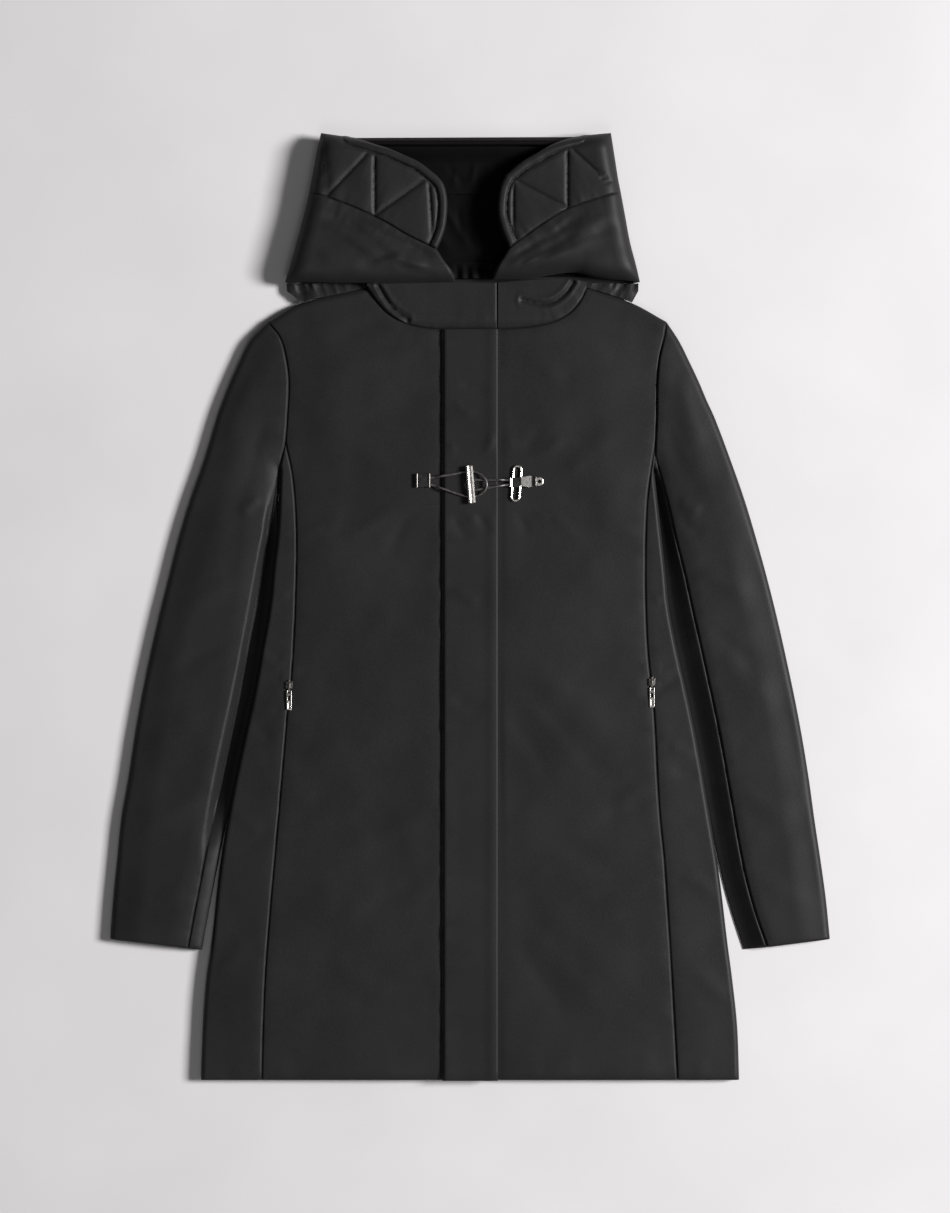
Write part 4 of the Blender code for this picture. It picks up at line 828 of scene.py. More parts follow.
class Shading:
    """A new material, its shader and the nodes that feed it."""

    def __init__(self, name: str, values: dict[str, float]) -> None:
        """Makes the material.

        Args:
            name: of the material.
            values: values of its shader's inputs by name.
        """
        self.material = bpy.data.materials.new(name)
        self.material.use_nodes = True
        self.tree = self.material.node_tree
        self.shader = self.tree.nodes["Principled BSDF"]
        for key, value in values.items():
            self.shader.inputs[key].default_value = value
        self.spot = self.add("ShaderNodeTexCoord").outputs["Object"]

    def add(self, kind: str, settings: dict | None = None, values: dict | None = None,
            links: dict | None = None) -> bpy.types.Node:
        """Adds one shader node.

        Args:
            kind: the node's type.
            settings: its own settings by name.
            values: values of its inputs by name.
            links: sockets that its inputs come from, by name.

        Returns:
            The node.
        """
        node = self.tree.nodes.new(kind)
        for key, value in (settings or {}).items():
            setattr(node, key, value)
        for key, value in (values or {}).items():
            node.inputs[key].default_value = value
        for key, socket in (links or {}).items():
            self.tree.links.new(socket, node.inputs[key])
        return node

    def feed(self, key: str, socket: Socket) -> None:
        """Joins a socket to one of the shader's inputs."""
        self.tree.links.new(socket, self.shader.inputs[key])

    def clouds(self, size: float, detail: float, spot: Socket | None = None) -> Socket:
        """Cloudy noise.

        Args:
            size: of its patches, in mm.
            detail: how fine it goes below that.
            spot: where it is read, if not at the object's own coordinates.

        Returns:
            Its socket.
        """
        return self.add("ShaderNodeTexNoise", None, {"Scale": 1 / (size * MM), "Detail": detail},
                        {"Vector": self.spot if spot is None else spot}).outputs["Fac"]

    def colour(self, factor: Socket, dark: str, light: str) -> None:
        """Colours the shader between two tones.

        Args:
            factor: which of them it is.
            dark: the first.
            light: the second.
        """
        ramp = self.add("ShaderNodeValToRGB", links={"Fac": factor})
        ends = ramp.color_ramp.elements
        ends[0].position, ends[1].position = 0.3, 0.7
        ends[0].color, ends[1].color = linear(dark), linear(light)
        self.feed("Base Color", ramp.outputs["Color"])

    def rough(self, factor: Socket, low: float, high: float) -> None:
        """Varies the shader's roughness between two values."""
        span = self.add("ShaderNodeMapRange", None, {"To Min": low, "To Max": high}, {"Value": factor})
        self.feed("Roughness", span.outputs["Result"])

    def bump(self, height: Socket, strength: float, depth: float,
             under: Socket | None = None) -> Socket:
        """Fine relief, which is fed to the shader.

        Args:
            height: the relief's height.
            strength: how strongly it shows, 0 to 1.
            depth: of the relief, in mm.
            under: coarser relief that it lies on.

        Returns:
            Its socket, for finer relief to lie on.
        """
        links = {"Height": height} if under is None else {"Height": height, "Normal": under}
        node = self.add("ShaderNodeBump", None, {"Strength": strength, "Distance": depth * MM}, links)
        self.feed("Normal", node.outputs["Normal"])
        return node.outputs["Normal"]


@dataclass(frozen=True)
class WovenFinish:
    """Black polyester twill or satin, piece-dyed and calendered.

    It gives the eye a soft, nearly matt black with a faint bloom at grazing angles, fine diagonal
    ribs close by, and slightly uneven tone where the cloth has been handled.

    Attributes:
        name: of the material.
        dark: its darker tone.
        light: its lighter tone.
        rib: spacing of the ribs in mm. The real ones are 0.35 mm apart and are drawn coarser to show.
        roughness: its typical roughness.
        sheen: how strong the bloom is.
        depth: depth of the ribs in mm.
        gloss: its specular level.
    """

    name: str
    dark: str
    light: str
    rib: float
    roughness: float
    sheen: float
    depth: float
    gloss: float

    def make(self) -> bpy.types.Material:
        """Builds the material."""
        look = Shading(self.name, {"Sheen Weight": self.sheen, "Sheen Roughness": 0.45,
                                   "Specular IOR Level": self.gloss})
        ribs = look.add("ShaderNodeTexWave", {"bands_direction": "DIAGONAL"},
                        {"Scale": 2 * math.pi / (DIAGONAL_BANDS * self.rib * MM), "Distortion": 0.6,
                         "Detail": 1.0, "Detail Scale": 3.0}, {"Vector": look.spot})
        threads, patches = look.clouds(2.2, 3.0), look.clouds(85, 4.0)
        tone = look.add("ShaderNodeMix", {"data_type": "FLOAT"}, {"Factor": 0.4},
                        {"A": patches, "B": threads})
        look.colour(tone.outputs["Result"], self.dark, self.light)
        look.rough(patches, self.roughness - 0.07, self.roughness + 0.07)
        look.bump(threads, 0.35, 0.25, look.bump(ribs.outputs["Fac"], 0.5, self.depth))
        return look.material


@dataclass(frozen=True)
class LeatherFinish:
    """Smooth black calf leather, tanned and waxed: deep black, with fine grain and a soft gloss.

    Attributes:
        name: of the material.
        dark: its darker tone.
        light: its lighter tone.
        grain: size of the grain in mm. The real grain is 0.3 mm and is drawn coarser to show.
        roughness: its typical roughness.
    """

    name: str = "waxed_calf_leather"
    dark: str = "#0a0909"
    light: str = "#181616"
    grain: float = 0.6
    roughness: float = 0.38

    def make(self) -> bpy.types.Material:
        """Builds the material."""
        look = Shading(self.name, {"Specular IOR Level": 0.5})
        pores = look.add("ShaderNodeTexVoronoi", None, {"Scale": 1 / (self.grain * MM)},
                         {"Vector": look.spot})
        wax = look.clouds(5, 3.0)
        look.colour(wax, self.dark, self.light)
        look.rough(wax, self.roughness - 0.1, self.roughness + 0.12)
        look.bump(pores.outputs["Distance"], 0.5, 0.12)
        return look.material


@dataclass(frozen=True)
class MetalFinish:
    """Plated zinc casting, tumbled bright: a warm mirror with a veil of fine rubbing marks.

    Attributes:
        name: of the material.
        dark: its tone where it is rubbed.
        light: its bright tone.
        roughness: its typical roughness.
    """

    name: str
    dark: str
    light: str
    roughness: float

    def make(self) -> bpy.types.Material:
        """Builds the material."""
        look = Shading(self.name, {"Metallic": 1.0})
        stretch = look.add("ShaderNodeMapping", None, {"Scale": (1.0, 0.2, 1.0)}, {"Vector": look.spot})
        marks = look.clouds(0.7, 4.0, stretch.outputs["Vector"])
        look.colour(marks, self.dark, self.light)
        look.rough(marks, self.roughness * 0.6, self.roughness * 1.5)
        look.bump(marks, 0.12, 0.05)
        return look.material


@dataclass(frozen=True)
class FloorFinish:
    """Seamless paper: pale, matt and even.

    Attributes:
        name: of the material.
        dark: its darker tone.
        light: its lighter tone.
    """

    name: str = "seamless_paper"
    dark: str = "#bab8b9"
    light: str = "#bfbdbe"

    def make(self) -> bpy.types.Material:
        """Builds the material."""
        look = Shading(self.name, {"Roughness": 0.85, "Specular IOR Level": 0.2})
        mottle = look.add("ShaderNodeTexNoise", None, {"Scale": 6.0, "Detail": 3.0}, {"Vector": look.spot})
        look.colour(mottle.outputs["Fac"], self.dark, self.light)
        return look.material


TWILL = WovenFinish("calendered_twill", "#181718", "#201f20", 1.0, 0.5, 0.02, 0.1, 0.12)
LINING = WovenFinish("lining_satin", "#060606", "#0b0b0b", 0.8, 0.66, 0.0, 0.06, 0.03)
BINDING = WovenFinish("edge_binding", "#060404", "#0a0606", 0.8, 0.6, 0.0, 0.06, 0.08)
LEATHER = LeatherFinish()
# The cords' leather is the tab's black leather drawn lighter: painted highlight.
HIGHLIT_CORD_LEATHER = LeatherFinish("rolled_leather_cord_painted_highlight", "#262323", "#454141", 0.6, 0.3)
STEEL = MetalFinish("polished_plate", "#c4c0bb", "#e4e0db", 0.26)
THREAD = WovenFinish("polyester_thread", "#151415", "#1f1e1f", 0.5, 0.42, 0.0, 0.05, 0.3)
# A darker copy of the bright plate: painted shade that dims the reflections of the clamps and the slider.
SHADE_PAINTED_STEEL = MetalFinish("shade_painted_plate", "#4a4845", "#7d7a76", 0.34)
DARK_STEEL = MetalFinish("darkened_plate", "#2b2927", "#4d4a47", 0.3)


@dataclass
class Wardrobe:
    """The materials of the coat.

    Attributes:
        twill: of the shell.
        lining: of the hood's inside.
        binding: of the rolled edge along the top.
        leather: of the toggle's tab and wrap.
        highlit_cord_leather: of its cords, the black leather in a lighter copy: painted highlight.
        thread: of the stitches.
        shade_painted: a darker copy of the bright plated metal, painted shade that dims its reflections.
        steel: bright plated metal.
        dark_steel: darkened metal.
    """

    twill: bpy.types.Material = field(default_factory=TWILL.make)
    lining: bpy.types.Material = field(default_factory=LINING.make)
    binding: bpy.types.Material = field(default_factory=BINDING.make)
    leather: bpy.types.Material = field(default_factory=LEATHER.make)
    highlit_cord_leather: bpy.types.Material = field(default_factory=HIGHLIT_CORD_LEATHER.make)
    thread: bpy.types.Material = field(default_factory=THREAD.make)
    shade_painted: bpy.types.Material = field(default_factory=SHADE_PAINTED_STEEL.make)
    steel: bpy.types.Material = field(default_factory=STEEL.make)
    dark_steel: bpy.types.Material = field(default_factory=DARK_STEEL.make)


@dataclass
class SidePart:
    """A part that the coat has on both sides.

    Attributes:
        side: the side of the image it is on.
        wardrobe: the materials.
    """

    side: Side
    wardrobe: Wardrobe

    def ordered(self, sides: Sides) -> Sides:
        """Puts four sides in the image's order.

        Args:
            sides: given as on the left, where left is the outer side.

        Returns:
            The same sides, with left and right as they lie in the image.
        """
        if self.side is Side.LEFT:
            return sides
        return Sides(sides.right, sides.left, sides.bottom[::-1], sides.top[::-1])

    def across(self, outer: Sequence[float], inner: Sequence[float]) -> tuple:
        """The grid distances at the outer and the inner side, in the image's order."""
        return (outer, inner) if self.side is Side.LEFT else (inner, outer)


# ---------------------------------------------------------------- body

@dataclass
class Front(SidePart):
    """The front of one side: its centre panel and the side panel beyond the princess seam.

    Attributes:
        seed: of its unevenness.
        unevenness: height of the unevenness.
    """

    seed: int
    unevenness: float = 1.0

    def surface(self, x: np.ndarray, y: np.ndarray, creases: Sequence[Fold],
                seams: Sequence[Line]) -> np.ndarray:
        """The relief of a panel: crown, folds, creases, unevenness and its seams.

        Args:
            x: the points' x.
            y: the points' y.
            creases: of this panel.
            seams: of this panel.

        Returns:
            The height at each point.
        """
        still = calm(x, y) * smooth_step((np.abs(x) - 29) / 14)
        low_edge = smooth_step((y - HEM) / 30)
        height = body_crown(x, y)
        rough = fold_relief(x, y, creases, 0.25) * low_edge + self.unevenness * wander(x, y, self.seed)
        height += rough * still
        height += self.hem_waves(x, y)
        for number, line in enumerate(seams):
            height += seam_relief(x, y, line, self.seed + 10 * number)
        return height + self.beside_placket(x, y) - pressed(x, y)

    def beside_placket(self, x: np.ndarray, y: np.ndarray) -> np.ndarray:
        """The dip along the fly strip, with the puckers of its seam on the wearer's right.

        Args:
            x: the points' x.
            y: the points' y.

        Returns:
            The height at each point.
        """
        distance = np.abs(np.abs(x) - PLACKET_HALF)
        below_neck = smooth_step((282 - y) / 6)
        deep = 0.3 if self.side is Side.LEFT else 1.2
        dip = -deep * np.exp(-(distance / 1.3) ** 2) - 0.35 * np.exp(-(distance / 6) ** 2)
        pull = (0.5 * noise(y, distance * 0.3, 14.0, self.seed + 70)
                + 0.35 * noise(y, distance * 0.3, 6.0, self.seed + 71))
        sewn = pull * np.exp(-distance / 8) * (1 - np.exp(-distance / 1.5)) if self.side is Side.LEFT else 0.0
        return (dip + sewn) * below_neck

    def hem_waves(self, x: np.ndarray, y: np.ndarray) -> np.ndarray:
        """Small waves where the hem is turned up.

        Args:
            x: the points' x.
            y: the points' y.

        Returns:
            The height at each point.
        """
        reach = np.exp(-((y - HEM) / 26) ** 2)
        waves = 0.9 * noise(x, y * 0.3, 34.0, self.seed + 60) + 0.35 * noise(x, y * 0.4, 11.0, self.seed + 61)
        return waves * reach

    def build(self) -> list[bpy.types.Object]:
        """Builds both panels."""
        armhole, princess, neckline, shoulder, side_edge = (
            smooth(line) for line in (line_of(ARMHOLE, self.side)[:6], *(
                line_of(rows, self.side) for rows in (PRINCESS, NECKLINE, SHOULDER, SIDE_EDGE))))
        corner = neckline[-1]
        under = (-PLACKET_HALF + SEAM, NECK_Y)
        centre = (straight(corner, (corner[0], HEM)) if self.side is Side.LEFT
                  else join(straight(corner, under), straight(under, (under[0], HEM))))
        hem = straight((princess[-1][0], HEM), (centre[-1][0], HEM))
        outer, inner = join(armhole, princess), join(neckline, centre)
        centre_panel = Panel(
            "front_" + self.side.wearer + "_centre",
            self.ordered(Sides(outer[::-1], inner[::-1], hem, shoulder)), Layer.UPPER,
            rounds=[RoundEdge(shoulder, EDGE_RADIUS)], free=[hem], seams=[outer, inner],
            relief=lambda x, y: self.surface(x, y, CREASES, (armhole, princess, neckline)),
            steps=(SEAM_STEPS, SEAM_STEPS, SEAM_STEPS, ROUND_STEPS))
        low_armhole = straight(line_of(ARMHOLE, self.side)[6], line_of(ARMHOLE, self.side)[5])
        side_hem = straight(side_edge[-1], (princess[-1][0], HEM))
        side_panel = Panel(
            "side_front_" + self.side.wearer,
            self.ordered(Sides(side_edge[::-1], princess[::-1], side_hem, low_armhole)), Layer.UPPER,
            rounds=[RoundEdge(side_edge, SIDE_ROUND)], free=[side_hem], seams=[princess, low_armhole],
            relief=lambda x, y: self.surface(x, y, SIDE_CREASES, (princess, low_armhole)),
            step=2.8, steps=(*self.across(ROUND_STEPS, SEAM_STEPS), SEAM_STEPS, SEAM_STEPS))
        return [panel.build(self.wardrobe.twill, "twill") for panel in (centre_panel, side_panel)]


@dataclass
class Back:
    """The back, in one panel on the surface.

    Attributes:
        wardrobe: the materials.
        neck: its edge between the shoulders.
    """

    wardrobe: Wardrobe
    neck: Sequence[tuple[float, float]] = ((-112, 321.5), (-100, 324.7), (114, 324.7), (124, 321.5))

    def build(self) -> list[bpy.types.Object]:
        """Builds the panel."""
        armholes, edges = ([smooth(line_of(rows, side)) for side in Side] for rows in (ARMHOLE, SIDE_EDGE))
        sides = [join(*lines)[::-1] for lines in zip(armholes, edges)]
        left, right = (line_of(SHOULDER, side)[:2] for side in Side)
        top = join(left, np.array([left[-1], *self.neck, right[-1]], float), right[::-1])
        hem = straight(sides[0][0], sides[1][0])
        rounds = [RoundEdge(line, EDGE_RADIUS) for line in (*edges, left, right)]
        panel = Panel("back", Sides(sides[0], sides[1], hem, top), Layer.LOWER, rounds=rounds, free=[hem],
                      seams=armholes, step=8.0, steps=(ROUND_STEPS, ROUND_STEPS, SEAM_STEPS, ROUND_STEPS))
        return [panel.build(self.wardrobe.twill, "twill")]


@dataclass
class Sleeve(SidePart):
    """One sleeve: the top sleeve, and the under sleeve that wraps from the surface onto the upper side.

    Attributes:
        seed: of its unevenness.
        rows: how many places the seam is drawn at.
        unevenness: height of the unevenness.
        sinking: share of its height that is left, from the body's edge (0) to the seam (1).
    """

    seed: int
    rows: int = 14
    unevenness: float = 0.9
    sinking: dict = field(default_factory=lambda: {
        Side.LEFT: ((0.0, 0.72), (0.3, 0.46), (0.65, 0.2), (0.9, 0.05), (1.0, 0.16), (1.25, 0.6),
                    (1.55, 1.0)),
        Side.RIGHT: ((0.0, 0.2), (0.2, 0.28), (0.45, 0.47), (0.7, 0.7), (0.9, 0.89), (1.2, 1.0))})

    def __post_init__(self) -> None:
        """Works out the sleeve's lines."""
        sign = self.side.sign
        wrap = getattr(SLEEVE_SEAM_INSET, self.side.value)
        hole = line_of(ARMHOLE, self.side)
        self.outer = smooth(line_of(SLEEVE_OUTER, self.side))
        inner = line_of(SLEEVE_INNER, self.side)
        shares = np.linspace(0, 1, self.rows + 1)
        rows = at_distance(inner, shares * along(inner)[-1])
        grow = 0.3 + 0.7 * smooth_step(shares / 0.35)[:, None]
        seam = rows + grow * np.array([-sign * wrap, 0])
        seam[0] = (hole[5] + hole[6]) / 2 - (sign * SEAM, 0)
        width = float(np.linalg.norm(self.outer[-1] - rows[-1]))
        seam[-1] = rows[-1] + (self.outer[-1] - rows[-1]) * wrap / width
        self.inner, self.seam = smooth(rows, 6), smooth(seam, 6)
        self.armhole = join(smooth(hole[:6]), straight(hole[5], seam[0]))

    def relief(self, x: np.ndarray, y: np.ndarray) -> np.ndarray:
        """The crown and the folds of the sleeve.

        Args:
            x: the points' x.
            y: the points' y.

        Returns:
            The height at each point.
        """
        from_outer = nearest_on(self.outer, x, y)[0]
        from_inner = nearest_on(self.inner, x, y)[0]
        middle = smooth_step(np.minimum(from_outer, from_inner) / 34)
        ends = 0.6 + 0.4 * smooth_step((y + 340) / 10)
        full = (CROWN * 0.9 * middle + fold_relief(x, y, FOLDS)) * ends
        rough = fold_relief(x, y, SLEEVE_CREASES, 0.25) + self.unevenness * wander(x, y, self.seed)
        return full + rough * smooth_step(np.minimum(from_outer, from_inner) / 12) * (0.3 + 0.7 * ends)

    def seam_at(self, place: np.ndarray) -> tuple[np.ndarray, np.ndarray]:
        """The seam's point beside each place along the inner edge."""
        share = place / along(self.inner)[-1] * along(self.seam)[-1]
        return tuple(np.interp(share, along(self.seam), self.seam[:, k]) for k in (0, 1))

    def sunk(self, points: np.ndarray) -> np.ndarray:
        """Lowers the sleeve beside the body, where it lies deep in the gap.

        Args:
            points: its points.

        Returns:
            The same points, moved.
        """
        x, y = points[..., 0], points[..., 1]
        from_inner, _, place = nearest_on(self.inner, x, y)
        from_armhole = nearest_on(self.armhole, x, y)[0]
        from_seam = nearest_on(self.seam, x, y)[0]
        inside = nearest_on(self.outer, x, y)[0] < nearest_on(self.outer, *self.seam_at(place))[0]
        across = np.where(inside, 1.0 + from_seam / 10, from_inner / np.maximum(from_inner + from_seam, 1e-6))
        share = np.interp(across, *zip(*self.sinking[self.side]))
        beside_body = 1 - smooth_step((place - 320) / 90)
        if self.side is Side.LEFT:
            start = smooth_step((place - 10) / 80) * beside_body
        else:
            start = smooth_step(place / 30 + 0.2)
        start = start * smooth_step(from_armhole / 26)
        points[..., 2] *= 1 - (1 - share) * start
        tuck = 1.9 * (1 - smooth_step(from_inner / 4)) * start * beside_body
        points[..., 0] += self.side.sign * tuck
        return points

    def build(self) -> list[bpy.types.Object]:
        """Builds both pieces."""
        cuff = straight(self.outer[-1], self.seam[-1])
        top = Panel(
            "sleeve_top_" + self.side.wearer,
            self.ordered(Sides(self.outer[::-1], self.seam[::-1], cuff, self.armhole)), Layer.UPPER,
            rounds=[RoundEdge(self.outer, EDGE_RADIUS), RoundEdge(self.inner, SLEEVE_ROUND)], free=[cuff],
            seams=[self.seam, self.armhole], step=2.8,
            steps=(*self.across(ROUND_STEPS, SEAM_STEPS), SEAM_STEPS, SEAM_STEPS),
            relief=lambda x, y: (self.relief(x, y) + seam_relief(x, y, self.seam, self.seed)
                                 + seam_relief(x, y, self.armhole, self.seed + 10, 0.7)), form=self.sunk)
        return [top.build(self.wardrobe.twill, "twill"), self.under()]

    def under(self) -> bpy.types.Object:
        """The under sleeve, from its seam round the inner edge and across the surface."""
        up = np.linspace(0, 1, 190)
        top = straight(self.seam[0], self.inner[0])
        cuff = straight(self.seam[-1], self.inner[-1])
        strip = Panel(
            "strip", Sides(self.seam[::-1], self.inner[::-1], cuff, top), Layer.UPPER,
            rounds=[RoundEdge(self.outer, EDGE_RADIUS), RoundEdge(self.inner, SLEEVE_ROUND)], free=[cuff],
            seams=[self.seam], up=up, step=1.6, steps=(SEAM_STEPS, ROUND_STEPS, (), ()),
            relief=lambda x, y: self.relief(x, y) + seam_relief(x, y, self.seam, self.seed + 20))
        hole = smooth(np.vstack([self.inner[:1], line_of(ARMHOLE, self.side)[::-1][1:]]))
        low_cuff = straight(self.inner[-1], self.outer[-1])
        floor = Panel(
            "floor", Sides(self.inner[::-1], self.outer[::-1], low_cuff, hole), Layer.LOWER,
            rounds=[RoundEdge(self.outer, EDGE_RADIUS), RoundEdge(self.inner, EDGE_RADIUS)], free=[low_cuff],
            seams=[hole], up=up, step=6.0, steps=(ROUND_STEPS, ROUND_STEPS, (), ()))
        high, low = strip.points(), floor.points()
        walls = []
        for upper, lower in zip(high, low):
            upper[:, -1, 2] = EDGE_RADIUS
            walls.append(self.sunk(np.concatenate([upper, lower[:, 1:]], axis=1)))
        piece = cloth_mesh("sleeve_under_" + self.side.wearer + "_cloth", *walls)
        dress(piece, "sleeve_under_" + self.side.wearer, self.wardrobe.twill)
        declare_sheet((self.inner, self.outer), plan_area(strip.sides) + plan_area(floor.sides))
        return piece


@dataclass
class Placket:
    """The fly strip, sewn down at its left edge in the image and folded at its right one.

    Attributes:
        wardrobe: the materials.
        top: its upper end.
        gap: between it and the fronts.
        seed: of its unevenness.
    """

    wardrobe: Wardrobe
    top: float = 277.5
    gap: float = 0.55
    seed: int = 71

    def relief(self, x: np.ndarray, y: np.ndarray) -> np.ndarray:
        """The sewn edge with its puckers, the soft fold and the strip's own waves.

        Args:
            x: the points' x.
            y: the points' y.

        Returns:
            The height at each point.
        """
        sewn = -2.2 * (1 - smooth_step((x + PLACKET_HALF) / 3.5))
        from_seam = x + PLACKET_HALF
        pull = 0.5 * noise(y, x * 0.2, 13.0, self.seed) + 0.35 * noise(y, x * 0.3, 6.0, self.seed + 1)
        puckers = pull * np.exp(-np.abs(from_seam - 3) / 7)
        fold = 0.5 * np.exp(-((x - PLACKET_HALF + 6) / 5) ** 2)
        waves = 0.55 * noise(y, x * 0.4, 58.0, self.seed + 2) * smooth_step(from_seam / 20)
        creases = fold_relief(x, y, PLACKET_CREASES, 0.25)
        return sewn + (puckers + fold + waves + creases + 0.3 * wander(x, y, self.seed + 5)) * calm(x, y)

    def build(self) -> list[bpy.types.Object]:
        """Builds the strip."""
        half = PLACKET_HALF
        left, right = straight((-half, HEM), (-half, self.top)), straight((half, HEM), (half, self.top))
        bottom, top = straight((-half, HEM), (half, HEM)), straight((-half, self.top), (half, self.top))
        panel = Panel("placket", Sides(left, right, bottom, top), Layer.UPPER, free=[right, bottom],
                      radius=(2 * EDGE_RADIUS + self.gap + PLACKET_WALL) / 2, wall=PLACKET_WALL,
                      lift=body_crown, relief=self.relief, step=2.4)
        return [panel.build(self.wardrobe.twill, "twill")]


@dataclass
class Neckband(SidePart):
    """One half of the stand, from the neckline up to the hood; the wearer's right half lies on top.

    Attributes:
        seed: of its unevenness.
        crease: the line that it is creased along.
    """

    seed: int
    crease: dict = field(default_factory=lambda: {
        Side.LEFT: ((-92, 321), (-79, 301), (-62, 287)),
        Side.RIGHT: ((103, 325), (96, 315), (86, 307), (77, 303.5), (65, 304), (52, 307))})

    def relief(self, x: np.ndarray, y: np.ndarray, seam: Line, fold: Line) -> np.ndarray:
        """The stand's rise from the neckline, its crease and the puckers at its seam.

        Args:
            x: the points' x.
            y: the points' y.
            seam: the neckline.
            fold: the crease.

        Returns:
            The height at each point.
        """
        lifted = 3.8 * smooth_step((y - 276) / 14)
        creased = groove(x, y, fold, 2.6, 2.4) + 0.8 * np.exp(-((nearest_on(fold, x, y)[0] - 4) / 2.4) ** 2)
        return (lifted + creased + 0.45 * wander(x * 1.6, y * 1.6, self.seed)
                + seam_relief(x, y, seam, self.seed + 3, 0.5))

    def build(self) -> list[bpy.types.Object]:
        """Builds the half."""
        half = PLACKET_HALF
        bottom, top = smooth(line_of(NECKLINE, self.side)), line_of(BAND_TOP, self.side)
        if self.side is Side.LEFT:
            bottom = join(bottom, straight((-half, NECK_Y), (half, NECK_Y)))
            top = join(smooth(np.vstack([top[:4], (-42.0, 326.0), (-half, 324.6)])),
                       straight((-half, 324.6), (half, 324.3)))
        else:
            top = smooth(top)
        left, right = straight(bottom[0], top[0]), straight(bottom[-1], top[-1])
        fold = smooth(np.array(self.crease[self.side], float))
        panel = Panel("neckband_" + self.side.wearer, self.ordered(Sides(left, right, bottom, top)),
                      Layer.UPPER, free=[right] if self.side is Side.LEFT else [], seams=[bottom],
                      relief=lambda x, y: self.relief(x, y, bottom, fold), step=1.2)
        return [panel.build(self.wardrobe.twill, "twill")]


# ---------------------------------------------------------------- hood

def hood_lift(x: np.ndarray, y: np.ndarray) -> np.ndarray:
    """How far the loose flaps sink towards their free edges.

    Args:
        x: the points' x.
        y: the points' y.

    Returns:
        The height at each point.
    """
    left = nearest_on(line_of(HOOD_EDGE, Side.LEFT), x, y)[0]
    right = nearest_on(line_of(HOOD_EDGE, Side.RIGHT), x, y)[0]
    return -FLAP_SAG * smooth_step((np.minimum(left, right) - HOOD_RADIUS) / FLAP_SAG_REACH)


def hood_rounds() -> list[RoundEdge]:
    """The edges where the hood folds over: its two sides and its top."""
    top = np.vstack([points_of(FLAPS[Side.LEFT].top[:3]), points_of(FLAPS[Side.RIGHT].top[:3])[::-1]])
    lines = [smooth(line_of(HOOD_EDGE, Side.LEFT)), smooth(line_of(HOOD_EDGE, Side.RIGHT)), top]
    return [RoundEdge(line, HOOD_RADIUS) for line in lines]


